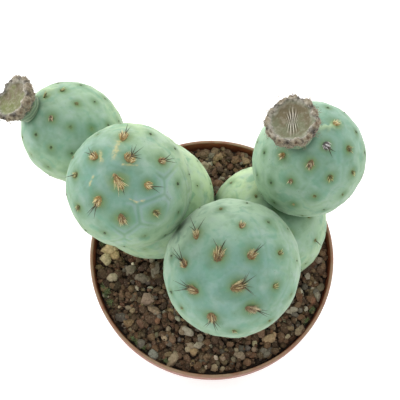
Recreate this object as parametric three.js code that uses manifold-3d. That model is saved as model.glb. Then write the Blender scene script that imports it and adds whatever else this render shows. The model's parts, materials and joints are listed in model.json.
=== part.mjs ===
// Potted ball cactus: six nearly round stem segments stacked in a forked chain, two cup-shaped fruits,
// and a filled round plastic pot. Millimetres, +Z up, origin under the middle of the pot.
import * as THREE from 'three';
import { ConvexHull } from 'three/addons/math/ConvexHull.js';
import { mergeVertices } from 'three/addons/utils/BufferGeometryUtils.js';
import Module from 'manifold-3d';

const wasm = await Module();
wasm.setup();

// Gap left between pieces that touch, and the larger offset of a cutter, whose flat facets lie inside
// its curve.
const seatGap = 0.35;
const cutterGap = 0.45;
const cutterSides = 36;
const cutterRings = 24;

// Pot: a thin tapered wall with a thicker band at the rim and a floor with drain holes.
const potHeight = 86;
const potRimRadius = 55;
const potBaseRadius = 39;
const potEdge = 1;
const potWall = 1.5;
const potFloor = 2;
const rimBandHeight = 13;
const rimBandStep = 1.1;
const rimBandSlope = 0.6;
const rimWall = 2.2;
const lipRound = 0.6;
const potSides = 52;
const drainHoles = 6;
const drainRadius = 4;
const drainCircle = 25;
const drainSides = 14;

// Soil: a body that fills the pot, its top a bed of small stones packed side by side.
const soilTop = 82;
const stoneCount = 156;
const stoneBedRadius = 60;
const stoneBedSpan = 1.3;
const stoneShift = 0.022;
const stoneSeam = 1.7;
const stoneShoulder = 0.74;
const stoneRise = 0.9;
const stoneRiseSpread = 0.7;
const stoneTilt = 0.8;
const bedUnderside = 20;
const bedOverlap = 1.5;
const undersideCount = 16;
const stoneSeed = 4;

// Skin relief shared by all segments.
const tuftHeight = 1.3;
const tuftWidth = 1.05;
const dimpleDepth = 0.35;
const shoulderRise = 0.15;
const shoulderPlace = 0.84;
const grooveDepth = 0.65;
const pearTaper = 0.04;
const tuftClearance = 1;
const buriedMargin = 0.8;
const contactMargin = 2.2;
const needleLength = 6.5;
const needleLengthSpread = 2;
const needleWidth = 0.55;
const needleRoot = 1.2;
const needleSeat = 0.2;
const needleLean = 0.6;
const needleLeanSpread = 0.7;

// Stem segments: an egg of half length and radius about its growth axis, with areoles along a spiral
// that starts at the tip of the spiral axis and turns by a fixed angle from one areole to the next.
const segmentTable = {
  segment_base: {
    centre: [24.8, 11.8, 95.4],
    growth: [-0.1, -0.1, 0.99],
    halfLength: 25.9,
    radius: 26.2,
    spiralAxis: [-0.1, -0.1, 0.99],
    areoles: 60,
    turn: 99.5,
    start: 20,
    tip: 0.5,
    seed: 31,
    needles: 6,
    colour: 0x9fbfa6,
  },
  segment_left_low: {
    centre: [-25.1, 19.5, 106.2],
    growth: [-0.967, 0.149, 0.208],
    halfLength: 26.4,
    radius: 26.3,
    spiralAxis: [-0.55, 0.1, 0.83],
    areoles: 60,
    turn: -137.5,
    start: 60,
    tip: 0.5,
    seed: 38,
    needles: 6,
    colour: 0x9dbda4,
  },
  segment_front: {
    centre: [7.7, -17.4, 135.9],
    growth: [-0.324, -0.554, 0.767],
    halfLength: 29.3,
    radius: 26.7,
    spiralAxis: [-0.345, -0.552, 0.759],
    areoles: 63,
    turn: 106.39,
    start: 155.3,
    tip: 0.78,
    seed: 45,
    needles: 16,
    colour: 0x93b5a2,
  },
  segment_left_top: {
    centre: [-31.8, 9.1, 155.5],
    growth: [-0.132, -0.204, 0.97],
    halfLength: 26.7,
    radius: 23.7,
    spiralAxis: [-0.158, -0.111, 0.981],
    areoles: 60,
    turn: 99.48,
    start: 300.2,
    tip: 0.48,
    seed: 52,
    needles: 14,
    colour: 0x95b8a4,
  },
  segment_right_top: {
    centre: [37.8, 24.8, 140.6],
    growth: [0.266, 0.267, 0.926],
    halfLength: 25.4,
    radius: 22.2,
    spiralAxis: [0.001, 0.032, 0.999],
    areoles: 66,
    turn: -137.44,
    start: 310,
    tip: 1,
    seed: 59,
    needles: 9,
    colour: 0x98bba5,
  },
  segment_left_outer: {
    centre: [-57.0, 39.2, 133.4],
    growth: [-0.688, 0.425, 0.588],
    halfLength: 22.8,
    radius: 20.3,
    spiralAxis: [-0.408, 0.4, 0.82],
    areoles: 66,
    turn: -151.49,
    start: 329.5,
    tip: 0,
    seed: 66,
    needles: 9,
    colour: 0x9bbda7,
  },
};

// Fruits: short cups with a woolly knobbed rim and a sunken dry face.
const fruitTable = {
  fruit_right: {
    parent: 'segment_right_top',
    seat: [31.5, 26.1, 164.1],
    axis: [-0.27, 0.07, 0.96],
    height: 14,
    rimRadius: 9.6,
    seed: 11,
  },
  fruit_left: {
    parent: 'segment_left_outer',
    seat: [-69.8, 42.6, 151.5],
    axis: [-0.68, 0.1, 0.727],
    height: 13,
    rimRadius: 8.6,
    seed: 23,
  },
};
const fruitSides = 30;
const fruitKnobs = 10;
const fruitKnobSize = 0.7;
const fruitKnobLift = 0.25;
const fruitRoot = 2.5;

// Seeded random draws in 0..1, the same every time.
function seededDraw(seed) {
  let state = seed >>> 0;
  return () => {
    state = (state + 0x6d2b79f5) >>> 0;
    let mixed = Math.imul(state ^ (state >>> 15), 1 | state);
    mixed = (mixed + Math.imul(mixed ^ (mixed >>> 7), 61 | mixed)) ^ mixed;
    return ((mixed ^ (mixed >>> 14)) >>> 0) / 4294967296;
  };
}

// A closed triangle mesh turned into a solid that can be joined and cut.
function solidOf(geometry) {
  const bare = new THREE.BufferGeometry();
  bare.setAttribute('position', geometry.getAttribute('position').clone());
  if (geometry.index) bare.setIndex(geometry.index.clone());
  const welded = mergeVertices(bare, 1e-4);
  const mesh = new wasm.Mesh({
    numProp: 3,
    vertProperties: new Float32Array(welded.getAttribute('position').array),
    triVerts: new Uint32Array(welded.index.array),
  });
  return new wasm.Manifold(mesh);
}

function geometryOf(solid) {
  const mesh = solid.getMesh();
  const geometry = new THREE.BufferGeometry();
  geometry.setAttribute('position', new THREE.BufferAttribute(new Float32Array(mesh.vertProperties), 3));
  geometry.setIndex(new THREE.BufferAttribute(new Uint32Array(mesh.triVerts), 1));
  geometry.computeVertexNormals();
  return geometry;
}

function largestBody(solid) {
  const bodies = solid.decompose();
  return bodies.reduce((best, body) => (body.volume() > best.volume() ? body : best), bodies[0]);
}

function geometryFrom(points, triangles) {
  const geometry = new THREE.BufferGeometry();
  const places = points.flatMap((point) => point.toArray());
  geometry.setAttribute('position', new THREE.Float32BufferAttribute(places, 3));
  geometry.setIndex(triangles.flat());
  return geometry;
}

// Two unit vectors square to an axis and to each other.
function acrossAxis(axis) {
  const side = new THREE.Vector3(0, 1, 0).cross(axis).normalize();
  return [side, axis.clone().cross(side)];
}

// Point of a segment's skin in a unit direction, raised by a height along that direction.
function skinPoint(segment, direction, height) {
  const growth = new THREE.Vector3(...segment.growth).normalize();
  const along = direction.dot(growth);
  const across = direction.clone().addScaledVector(growth, -along);
  return new THREE.Vector3(...segment.centre)
    .addScaledVector(growth, segment.halfLength * along)
    .addScaledVector(across, segment.radius * (1 + pearTaper * along))
    .addScaledVector(direction, height);
}

// True if a point lies inside a segment grown by a margin.
function insideSegment(segment, point, margin) {
  const growth = new THREE.Vector3(...segment.growth).normalize();
  const offset = point.clone().sub(new THREE.Vector3(...segment.centre));
  const along = offset.dot(growth);
  const across = Math.sqrt(Math.max(0, offset.lengthSq() - along * along));
  const taper = 1 + (pearTaper * along) / segment.halfLength;
  return Math.hypot(along / (segment.halfLength + margin), across / (segment.radius * taper + margin)) < 1;
}

// True if a point just off one segment's skin is close to another segment or to a fruit's seat.
function touchesNeighbour(name, point) {
  const nearSegment = Object.keys(segmentTable).some(
    (other) => other !== name && insideSegment(segmentTable[other], point, contactMargin),
  );
  const nearFruit = Object.values(fruitTable).some(
    (fruit) => point.distanceTo(new THREE.Vector3(...fruit.seat)) < fruit.rimRadius,
  );
  return nearSegment || nearFruit;
}

// Smooth egg of a segment, a little larger than the segment, that cuts its seat in a neighbour.
function eggSolid(segment) {
  const sphere = new THREE.SphereGeometry(1, cutterSides, cutterRings);
  const ball = mergeVertices(sphere.deleteAttribute('uv').deleteAttribute('normal'));
  const place = ball.getAttribute('position');
  const direction = new THREE.Vector3();
  for (let i = 0; i < place.count; i += 1) {
    direction.fromBufferAttribute(place, i).normalize();
    const point = skinPoint(segment, direction, cutterGap);
    place.setXYZ(i, point.x, point.y, point.z);
  }
  return solidOf(ball);
}

// Areole directions: equal steps along the axis and a fixed turn from one to the next.
function areoleDirections(segment) {
  const axis = new THREE.Vector3(...segment.spiralAxis).normalize();
  const [side, front] = acrossAxis(axis);
  const turn = THREE.MathUtils.degToRad(segment.turn);
  const start = THREE.MathUtils.degToRad(segment.start);
  return Array.from({ length: segment.areoles }, (_, i) => {
    const height = THREE.MathUtils.clamp(1 - (2 * (i + segment.tip)) / segment.areoles, -1, 1);
    const spread = Math.sqrt(1 - height * height);
    return axis
      .clone()
      .multiplyScalar(height)
      .addScaledVector(side, spread * Math.cos(start + i * turn))
      .addScaledVector(front, spread * Math.sin(start + i * turn));
  });
}

// Skin cells: the corners around each areole are the face directions of the hull of all areoles.
function skinCells(directions) {
  const hull = new ConvexHull().setFromPoints(directions);
  const corners = hull.faces.map((face) => face.normal.clone().normalize());
  const cells = directions.map((direction) => ({ direction, ring: [] }));
  hull.faces.forEach((face, corner) => {
    let edge = face.edge;
    do {
      cells[directions.indexOf(edge.head().point)].ring.push(corner);
      edge = edge.next;
    } while (edge !== face.edge);
  });
  for (const cell of cells) {
    const [side, front] = acrossAxis(cell.direction);
    const bearing = (corner) => Math.atan2(corners[corner].dot(front), corners[corner].dot(side));
    cell.ring.sort((a, b) => bearing(a) - bearing(b));
  }
  return { corners, cells };
}

// One needle: a three-sided spike with its root sunk in the skin.
function needleGeometry(root, direction, length) {
  const [side, front] = acrossAxis(direction);
  const base = [0, 1, 2].map((k) => {
    const bearing = (k * 2 * Math.PI) / 3;
    return root
      .clone()
      .addScaledVector(direction, -needleRoot)
      .addScaledVector(side, Math.cos(bearing) * needleWidth)
      .addScaledVector(front, Math.sin(bearing) * needleWidth);
  });
  const tip = root.clone().addScaledVector(direction, length);
  return geometryFrom(
    [...base, tip],
    [
      [2, 1, 0],
      [0, 1, 3],
      [1, 2, 3],
      [2, 0, 3],
    ],
  );
}

// A cell that is buried or pressed on a neighbour: a plain fan.
function addPlainCell(segment, cell, points, triangles) {
  const middle = points.length;
  const sides = cell.ring.length;
  points.push(skinPoint(segment, cell.direction, 0));
  for (let k = 0; k < sides; k += 1) triangles.push([middle, cell.ring[k], cell.ring[(k + 1) % sides]]);
}

// An open cell: a low cushion with a groove around it and a raised tuft in a dimple at its middle.
function addCushionCell(segment, cell, corners, points, triangles) {
  const ring = cell.ring;
  const sides = ring.length;
  const shoulder = points.length;
  for (const corner of ring) {
    const direction = cell.direction.clone().lerp(corners[corner], shoulderPlace).normalize();
    points.push(skinPoint(segment, direction, shoulderRise));
  }
  const [side, front] = acrossAxis(cell.direction);
  const spin = Math.atan2(corners[ring[0]].dot(front), corners[ring[0]].dot(side));
  const reach = tuftWidth / segment.radius;
  const tuft = points.length;
  for (let k = 0; k < 3; k += 1) {
    const bearing = spin + (k * 2 * Math.PI) / 3;
    const direction = cell.direction
      .clone()
      .addScaledVector(side, reach * Math.cos(bearing))
      .addScaledVector(front, reach * Math.sin(bearing))
      .normalize();
    points.push(skinPoint(segment, direction, -dimpleDepth));
  }
  const peak = points.length;
  points.push(skinPoint(segment, cell.direction, tuftHeight));
  let facing = 0;
  for (let k = 0; k < sides; k += 1) {
    const next = (k + 1) % sides;
    triangles.push([shoulder + k, ring[k], ring[next]], [shoulder + k, ring[next], shoulder + next]);
    triangles.push([tuft + (facing % 3), shoulder + k, shoulder + next]);
    const wanted = Math.round(((k + 1) * 3) / sides);
    if (wanted > facing) {
      triangles.push([tuft + (facing % 3), shoulder + next, tuft + (wanted % 3)]);
      facing = wanted;
    }
  }
  for (let k = 0; k < 3; k += 1) triangles.push([peak, tuft + k, tuft + ((k + 1) % 3)]);
}

// The skin of a segment, cell by cell, joined with a few needles that lean out of its open areoles.
function segmentSolid(name) {
  const segment = segmentTable[name];
  const draw = seededDraw(segment.seed);
  const { corners, cells } = skinCells(areoleDirections(segment));
  const points = corners.map((corner) => skinPoint(segment, corner, -grooveDepth));
  const triangles = [];
  const open = [];
  for (const cell of cells) {
    const top = skinPoint(segment, cell.direction, tuftHeight + tuftClearance);
    if (top.z < soilTop + buriedMargin || touchesNeighbour(name, top)) {
      addPlainCell(segment, cell, points, triangles);
    } else {
      addCushionCell(segment, cell, corners, points, triangles);
      open.push(cell);
    }
  }
  let solid = solidOf(geometryFrom(points, triangles));
  for (let k = 0; k < segment.needles; k += 1) {
    const cell = open[Math.floor(((k + 0.5) * open.length) / segment.needles)];
    const [side, front] = acrossAxis(cell.direction);
    const bearing = draw() * 2 * Math.PI;
    const lean = needleLean + draw() * needleLeanSpread;
    const heading = cell.direction
      .clone()
      .addScaledVector(side, lean * Math.cos(bearing))
      .addScaledVector(front, lean * Math.sin(bearing))
      .normalize();
    const root = skinPoint(segment, cell.direction, needleSeat);
    const length = needleLength + (draw() - 0.5) * 2 * needleLengthSpread;
    const tip = root.clone().addScaledVector(heading, length);
    if (!touchesNeighbour(name, tip) && tip.z > soilTop + needleLength) {
      solid = solid.add(solidOf(needleGeometry(root, heading, length)));
    }
  }
  return solid;
}

// A profile of radius and height pairs, from axis to axis, turned about +Z.
function turned(profile) {
  const outline = profile.map(([r, z]) => new THREE.Vector2(r, z));
  return solidOf(new THREE.LatheGeometry(outline, potSides).rotateX(Math.PI / 2));
}

function potWallRadius(z) {
  const bandFoot = potHeight - rimBandHeight;
  return potBaseRadius + ((potRimRadius - rimBandStep - potBaseRadius) * z) / bandFoot;
}

function potInnerRadius(z) {
  const bandFoot = potHeight - rimBandHeight;
  if (z > bandFoot) {
    const topInner = potRimRadius - rimWall;
    const footInner = potWallRadius(bandFoot) - potWall;
    return footInner + ((topInner - footInner) * (z - bandFoot)) / rimBandHeight;
  }
  return potWallRadius(z) - potWall;
}

function potSolid() {
  const bandFoot = potHeight - rimBandHeight;
  let pot = turned([
    [0, 0],
    [potBaseRadius - potEdge, 0],
    [potWallRadius(potEdge), potEdge],
    [potWallRadius(bandFoot), bandFoot],
    [potRimRadius - rimBandSlope, bandFoot + rimBandSlope],
    [potRimRadius, potHeight - lipRound],
    [potRimRadius - lipRound, potHeight],
    [potInnerRadius(potHeight) + lipRound, potHeight],
    [potInnerRadius(potHeight - lipRound), potHeight - lipRound],
    [potInnerRadius(bandFoot), bandFoot],
    [potInnerRadius(potFloor), potFloor],
    [0, potFloor],
  ]);
  for (let k = 0; k < drainHoles; k += 1) {
    const bearing = ((k + 0.5) * 2 * Math.PI) / drainHoles;
    const drill = new THREE.CylinderGeometry(drainRadius, drainRadius, potFloor * 4, drainSides)
      .rotateX(Math.PI / 2)
      .translate(drainCircle * Math.cos(bearing), drainCircle * Math.sin(bearing), potFloor / 2);
    pot = pot.subtract(solidOf(drill));
  }
  return pot;
}

// The room inside the pot, less the seat gap.
function potRoom() {
  const bandFoot = potHeight - rimBandHeight;
  const floor = potFloor + seatGap;
  const top = potHeight - lipRound;
  return turned([
    [0, floor],
    [potInnerRadius(floor) - seatGap, floor],
    [potInnerRadius(bandFoot) - seatGap, bandFoot],
    [potInnerRadius(top) - seatGap, top],
    [0, top],
  ]);
}

// Point of the stone bed for a unit direction: directions near +Z spread over the flat top, the others
// over a cone that closes the body underneath.
function bedPoint(direction, height) {
  const polar = Math.acos(THREE.MathUtils.clamp(direction.z, -1, 1));
  const bearing = Math.atan2(direction.y, direction.x);
  const beyond = Math.max(0, (polar - stoneBedSpan) / (Math.PI - stoneBedSpan));
  const r = stoneBedRadius * Math.min(polar / stoneBedSpan, 1 - beyond);
  const z = soilTop + height - (soilTop + bedUnderside) * beyond;
  return new THREE.Vector3(r * Math.cos(bearing), r * Math.sin(bearing), z);
}

// Middles of the stones, spread like the seeds of a sunflower and shifted a little at random.
function stoneDirections(draw) {
  const goldenTurn = Math.PI * (3 - Math.sqrt(5));
  const shift = () => (draw() - 0.5) * 2 * stoneShift;
  const direct = (polar, bearing) =>
    new THREE.Vector3(
      Math.sin(polar) * Math.cos(bearing) + shift(),
      Math.sin(polar) * Math.sin(bearing) + shift(),
      Math.cos(polar),
    ).normalize();
  const top = Array.from({ length: stoneCount }, (_, i) =>
    direct(stoneBedSpan * Math.sqrt((i + 0.5) / stoneCount), i * goldenTurn),
  );
  const underside = Array.from({ length: undersideCount }, (_, i) =>
    direct(stoneBedSpan + ((Math.PI - stoneBedSpan) * (i + 1)) / undersideCount, i * goldenTurn),
  );
  return [...top, ...underside];
}

// The soil: stones as low blocks with seams between them, each tilted a little, on a body that fills
// the room of the pot.
function soilSolid() {
  const draw = seededDraw(stoneSeed);
  const { corners, cells } = skinCells(stoneDirections(draw));
  const points = corners.map((corner) => bedPoint(corner, -stoneSeam));
  const triangles = [];
  for (const cell of cells) {
    const ring = cell.ring;
    const sides = ring.length;
    const rise = stoneRise + (draw() - 0.5) * 2 * stoneRiseSpread;
    const lean = draw() * 2 * Math.PI;
    const shoulder = points.length;
    for (let k = 0; k < sides; k += 1) {
      const direction = cell.direction.clone().lerp(corners[ring[k]], stoneShoulder).normalize();
      const tilt = stoneTilt * Math.cos((k * 2 * Math.PI) / sides - lean);
      points.push(bedPoint(direction, rise + tilt));
    }
    const middle = points.length;
    points.push(bedPoint(cell.direction, rise + stoneTilt / 2));
    for (let k = 0; k < sides; k += 1) {
      const next = (k + 1) % sides;
      triangles.push([shoulder + k, ring[k], ring[next]], [shoulder + k, ring[next], shoulder + next]);
      triangles.push([middle, shoulder + k, shoulder + next]);
    }
  }
  const blockTop = soilTop - stoneSeam - bedOverlap;
  const block = new THREE.CylinderGeometry(stoneBedRadius, stoneBedRadius, blockTop + bedUnderside, potSides)
    .rotateX(Math.PI / 2)
    .translate(0, 0, (blockTop - bedUnderside) / 2);
  let soil = solidOf(geometryFrom(points, triangles)).add(solidOf(block)).intersect(potRoom());
  for (const segment of Object.values(segmentTable)) {
    if (segment.centre[2] - segment.radius < potHeight) soil = soil.subtract(eggSolid(segment));
  }
  return largestBody(soil);
}

// Fruit skin: a cup profile about the fruit's axis, swollen into knobs around the rim.
function fruitSolid(fruit) {
  const draw = seededDraw(fruit.seed);
  const axis = new THREE.Vector3(...fruit.axis).normalize();
  const [side, front] = acrossAxis(axis);
  const seat = new THREE.Vector3(...fruit.seat);
  const rim = fruit.rimRadius;
  const tall = fruit.height;
  const profile = [
    { r: rim * 0.5, h: -fruitRoot, knob: 0 },
    { r: rim * 0.58, h: tall * 0.1, knob: 0 },
    { r: rim * 0.84, h: tall * 0.36, knob: 0.5 },
    { r: rim * 0.97, h: tall * 0.62, knob: 1 },
    { r: rim, h: tall * 0.84, knob: 1 },
    { r: rim * 0.9, h: tall * 1.02, knob: 0.9 },
    { r: rim * 0.74, h: tall * 0.98, knob: 0.2 },
    { r: rim * 0.66, h: tall * 0.88, knob: 0 },
  ];
  const lift = Array.from({ length: fruitKnobs }, () => (draw() - 0.5) * 2 * fruitKnobLift);
  const points = [];
  profile.forEach((row, level) => {
    for (let k = 0; k < fruitSides; k += 1) {
      const bearing = (k * 2 * Math.PI) / fruitSides;
      const phase = (k * fruitKnobs) / fruitSides + (level % 2) * 0.5;
      const swell = fruitKnobSize * Math.cos(phase * 2 * Math.PI) * row.knob;
      const rise = lift[Math.floor(phase) % fruitKnobs] * row.knob;
      points.push(
        seat
          .clone()
          .addScaledVector(axis, row.h + rise)
          .addScaledVector(side, (row.r + swell) * Math.cos(bearing))
          .addScaledVector(front, (row.r + swell) * Math.sin(bearing)),
      );
    }
  });
  const triangles = [];
  for (let level = 0; level < profile.length - 1; level += 1) {
    for (let k = 0; k < fruitSides; k += 1) {
      const a = level * fruitSides + k;
      const b = level * fruitSides + ((k + 1) % fruitSides);
      triangles.push([a, b, b + fruitSides], [a, b + fruitSides, a + fruitSides]);
    }
  }
  const foot = points.length;
  points.push(seat.clone().addScaledVector(axis, profile[0].h));
  const face = points.length;
  points.push(seat.clone().addScaledVector(axis, tall * 0.84));
  const lastRing = (profile.length - 1) * fruitSides;
  for (let k = 0; k < fruitSides; k += 1) {
    const next = (k + 1) % fruitSides;
    triangles.push([foot, next, k], [face, lastRing + k, lastRing + next]);
  }
  return solidOf(geometryFrom(points, triangles)).subtract(eggSolid(segmentTable[fruit.parent]));
}

const plant = new THREE.Group();
plant.name = 'potted_ball_cactus';

function addPiece(name, solid, colour, roughness) {
  const material = new THREE.MeshStandardMaterial({ color: colour, roughness, metalness: 0 });
  material.name = name;
  const piece = new THREE.Mesh(geometryOf(solid), material);
  piece.name = name;
  plant.add(piece);
}

addPiece('pot', potSolid(), 0xa8623f, 0.7);
addPiece('soil', soilSolid(), 0x77594d, 0.5);

// A segment that presses on one already placed takes a shallow seat in it.
const placed = [];
for (const [name, segment] of Object.entries(segmentTable)) {
  let solid = segmentSolid(name);
  for (const earlier of placed) solid = solid.subtract(eggSolid(earlier));
  addPiece(name, largestBody(solid), segment.colour, 0.85);
  placed.push(segment);
}

for (const [name, fruit] of Object.entries(fruitTable)) {
  addPiece(name, largestBody(fruitSolid(fruit)), 0x9a8f86, 0.55);
}

export default plant;
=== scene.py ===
import bpy
import json
import math
import numpy as np
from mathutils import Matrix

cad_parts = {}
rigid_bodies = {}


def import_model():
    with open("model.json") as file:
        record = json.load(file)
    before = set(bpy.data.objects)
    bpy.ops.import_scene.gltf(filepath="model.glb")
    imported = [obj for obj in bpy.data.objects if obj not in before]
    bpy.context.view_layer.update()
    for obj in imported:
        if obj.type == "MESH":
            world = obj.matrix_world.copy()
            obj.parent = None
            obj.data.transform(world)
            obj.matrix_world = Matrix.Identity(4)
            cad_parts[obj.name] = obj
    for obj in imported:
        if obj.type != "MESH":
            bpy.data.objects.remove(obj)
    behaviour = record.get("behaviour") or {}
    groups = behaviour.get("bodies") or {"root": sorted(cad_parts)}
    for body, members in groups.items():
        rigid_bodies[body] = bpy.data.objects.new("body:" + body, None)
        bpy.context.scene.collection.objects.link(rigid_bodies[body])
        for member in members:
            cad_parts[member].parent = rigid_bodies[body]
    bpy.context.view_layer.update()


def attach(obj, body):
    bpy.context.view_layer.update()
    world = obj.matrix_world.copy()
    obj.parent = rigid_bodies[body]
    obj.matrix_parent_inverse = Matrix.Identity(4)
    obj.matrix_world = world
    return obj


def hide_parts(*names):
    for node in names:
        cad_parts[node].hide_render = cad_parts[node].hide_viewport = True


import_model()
millimetre = 0.001
# In functions, s is a dictionary of one piece's own settings and k one that all of its kind share.


# Unit vector of a row, or of every row of an array.
def unit(rows):
    rows = np.asarray(rows, float)
    return rows / np.linalg.norm(rows, axis=-1, keepdims=True)


# Two directions square to an axis and to each other: first = Y x axis, second = axis x first.
def acrossAxis(axis):
    side = unit(np.cross([0.0, 1.0, 0.0], axis))
    return side, np.cross(axis, side)


# Equal steps round a circle, in radians.
def circleSteps(count):
    return np.arange(count) * 2 * math.pi / count


# Directions at bearings round an axis: cos(bearing) side + sin(bearing) front.
def spokes(bearing, side, front):
    return np.cos(bearing)[:, None] * side + np.sin(bearing)[:, None] * front


# Smooth step from 0 below low to 1 above high: 3t^2 - 2t^3 of the clamped share t.
def smoothStep(low, high, value):
    t = np.clip((value - low) / (high - low), 0, 1)
    return t * t * (3 - 2 * t)


# Soft irregular waves over points: a sum of sines along random directions, about -1 to 1.
def ripple(points, waveLength, seed, waves=14):
    draw = np.random.default_rng(seed)
    headings = unit(draw.normal(size=(waves, 3))) * (2 * math.pi / waveLength)
    headings *= draw.uniform(0.6, 1.5, size=(waves, 1))
    phases = draw.uniform(0, 2 * math.pi, waves)
    return np.sin(points @ headings.T + phases).sum(-1) / math.sqrt(waves)


# One mesh object from points in millimetres and a list of face arrays, each of one corner count.
def makePiece(name, points, faceGroups, material, smooth=True):
    points = np.asarray(points, float).reshape(-1, 3) * millimetre
    corners = np.concatenate([faces.reshape(-1) for faces in faceGroups]).astype(np.int32)
    sizes = np.concatenate([np.full(len(faces), faces.shape[1]) for faces in faceGroups])
    starts = np.concatenate([[0], np.cumsum(sizes)[:-1]]).astype(np.int32)
    mesh = bpy.data.meshes.new(name)
    mesh.vertices.add(len(points))
    mesh.vertices.foreach_set("co", points.reshape(-1))
    mesh.loops.add(len(corners))
    mesh.loops.foreach_set("vertex_index", corners)
    mesh.polygons.add(len(starts))
    mesh.polygons.foreach_set("loop_start", starts)
    mesh.polygons.foreach_set("use_smooth", np.full(len(starts), smooth))
    mesh.update(calc_edges=True)
    mesh.materials.append(material)
    piece = bpy.data.objects.new(name, mesh)
    bpy.context.scene.collection.objects.link(piece)
    return piece


# A number per vertex that materials read by name.
def paintNumber(piece, name, values):
    layer = piece.data.attributes.new(name, "FLOAT", "POINT")
    layer.data.foreach_set("value", np.asarray(values, np.float32).reshape(-1))


# A colour per vertex that materials read by name.
def paintColour(piece, name, colours):
    layer = piece.data.attributes.new(name, "FLOAT_COLOR", "POINT")
    solid = np.concatenate([colours, np.ones((len(colours), 1))], axis=1)
    layer.data.foreach_set("color", solid.astype(np.float32).reshape(-1))


# Faces of a closed-round grid with a pole at each end: fans at the poles, quads between the rings.
# Vertex 0 is the first pole, then ring after ring, then the last pole. ringCount rings of around points.
def poleGridFaces(ringCount, around):
    column = np.arange(around)
    onward = (column + 1) % around
    ring = 1 + np.arange(ringCount - 1)[:, None] * around
    quads = np.stack([ring + column, ring + around + column, ring + around + onward, ring + onward], -1)
    first = np.stack([np.zeros_like(column), 1 + column, 1 + onward], -1)
    lastRing = 1 + (ringCount - 1) * around
    last = np.stack([np.full_like(column, lastRing + around), lastRing + onward, lastRing + column], -1)
    return [quads.reshape(-1, 4), np.concatenate([first, last])]


# Linear colour of a screen colour in 0..255.
def paint(red, green, blue):
    share = np.array([red, green, blue]) / 255
    linear = np.where(share <= 0.04045, share / 12.92, ((share + 0.055) / 1.055) ** 2.4)
    return tuple(linear)


# A procedural material on the object's own coordinates. Its methods add nodes and hand back their outputs.
class Finish:
    def __init__(self, name, roughness, **sockets):
        self.material = bpy.data.materials.new(name)
        self.material.use_nodes = True
        self.tree = self.material.node_tree
        self.shader = self.tree.nodes["Principled BSDF"]
        self.shader.inputs["Roughness"].default_value = roughness
        for socket, value in sockets.items():
            self.shader.inputs[socket.replace("_", " ")].default_value = value
        self.place = self.tree.nodes.new("ShaderNodeTexCoord").outputs["Object"]

    def link(self, source, target):
        self.tree.links.new(source, target)

    # A node's output is linked to the socket; a colour or a number is set on it.
    def feed(self, value, socket):
        if isinstance(value, bpy.types.NodeSocket):
            self.link(value, socket)
        elif isinstance(value, tuple):
            socket.default_value = (*value, 1) if len(value) == 3 else value
        else:
            socket.default_value = value

    # A vertex value of the piece, by name: "Fac" for a number, "Color" for a colour.
    def attribute(self, name, output="Fac"):
        node = self.tree.nodes.new("ShaderNodeAttribute")
        node.attribute_name = name
        return node.outputs[output]

    # Clouded noise of a feature size in millimetres.
    def noise(self, size, detail=3, distortion=0.0):
        node = self.tree.nodes.new("ShaderNodeTexNoise")
        node.inputs["Scale"].default_value = 1 / (size * millimetre)
        node.inputs["Detail"].default_value = detail
        node.inputs["Distortion"].default_value = distortion
        self.link(self.place, node.inputs["Vector"])
        return node.outputs["Fac"]

    # Height above the ground, in metres.
    def heightOf(self):
        node = self.tree.nodes.new("ShaderNodeSeparateXYZ")
        self.link(self.place, node.inputs[0])
        return node.outputs["Z"]

    # Distance to the nearest of scattered points, for specks of a size in millimetres.
    def specks(self, size):
        node = self.tree.nodes.new("ShaderNodeTexVoronoi")
        node.inputs["Scale"].default_value = 1 / (size * millimetre)
        self.link(self.place, node.inputs["Vector"])
        return node.outputs["Distance"]

    # value * factor + offset.
    def sum(self, value, factor, offset=0.0):
        node = self.tree.nodes.new("ShaderNodeMath")
        node.operation = "MULTIPLY_ADD"
        self.feed(value, node.inputs[0])
        self.feed(factor, node.inputs[1])
        self.feed(offset, node.inputs[2])
        return node.outputs[0]

    # A value between two levels, as a share from least to most.
    def band(self, value, low, high, least=0.0, most=1.0):
        node = self.tree.nodes.new("ShaderNodeMapRange")
        self.feed(value, node.inputs["Value"])
        node.inputs["From Min"].default_value = low
        node.inputs["From Max"].default_value = high
        node.inputs["To Min"].default_value = least
        node.inputs["To Max"].default_value = most
        return node.outputs["Result"]

    # Clouds of a feature size in millimetres: noise between two levels, as a share from least to most.
    def clouds(self, size, detail, low, high, least=0.0, most=1.0, distortion=0.0):
        return self.band(self.noise(size, detail, distortion), low, high, least, most)

    # The first colour where the share is 0, the second where it is 1.
    def mix(self, share, first, second, blend="MIX"):
        node = self.tree.nodes.new("ShaderNodeMix")
        node.data_type = "RGBA"
        node.blend_type = blend
        self.feed(share, node.inputs["Factor"])
        self.feed(first, node.inputs[6])
        self.feed(second, node.inputs[7])
        return node.outputs[2]

    # Layers over a body, from the lowest up: for each its share and the name of its colour.
    def cover(self, body, colours, layers):
        for share, name in layers:
            body = self.mix(share, body, colours[name])
        return body

    def colour(self, value):
        self.feed(value, self.shader.inputs["Base Color"])

    def roughness(self, value):
        self.feed(value, self.shader.inputs["Roughness"])

    # Bump of a height field, with its full depth in millimetres.
    def bump(self, height, depth):
        node = self.tree.nodes.new("ShaderNodeBump")
        node.inputs["Strength"].default_value = 1
        node.inputs["Distance"].default_value = depth * millimetre
        self.feed(height, node.inputs["Height"])
        self.link(node.outputs["Normal"], self.shader.inputs["Normal"])


cameraSettings = {
    "place": (-5.266, -96.783, 474.079),   # mm, found from the pot's round rim
    "tilt": 17.5,                          # degrees from straight down, towards the back
    "lens": 79.758, "sensor": 36,          # mm
    "nearClip": 10,                        # mm
}

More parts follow.
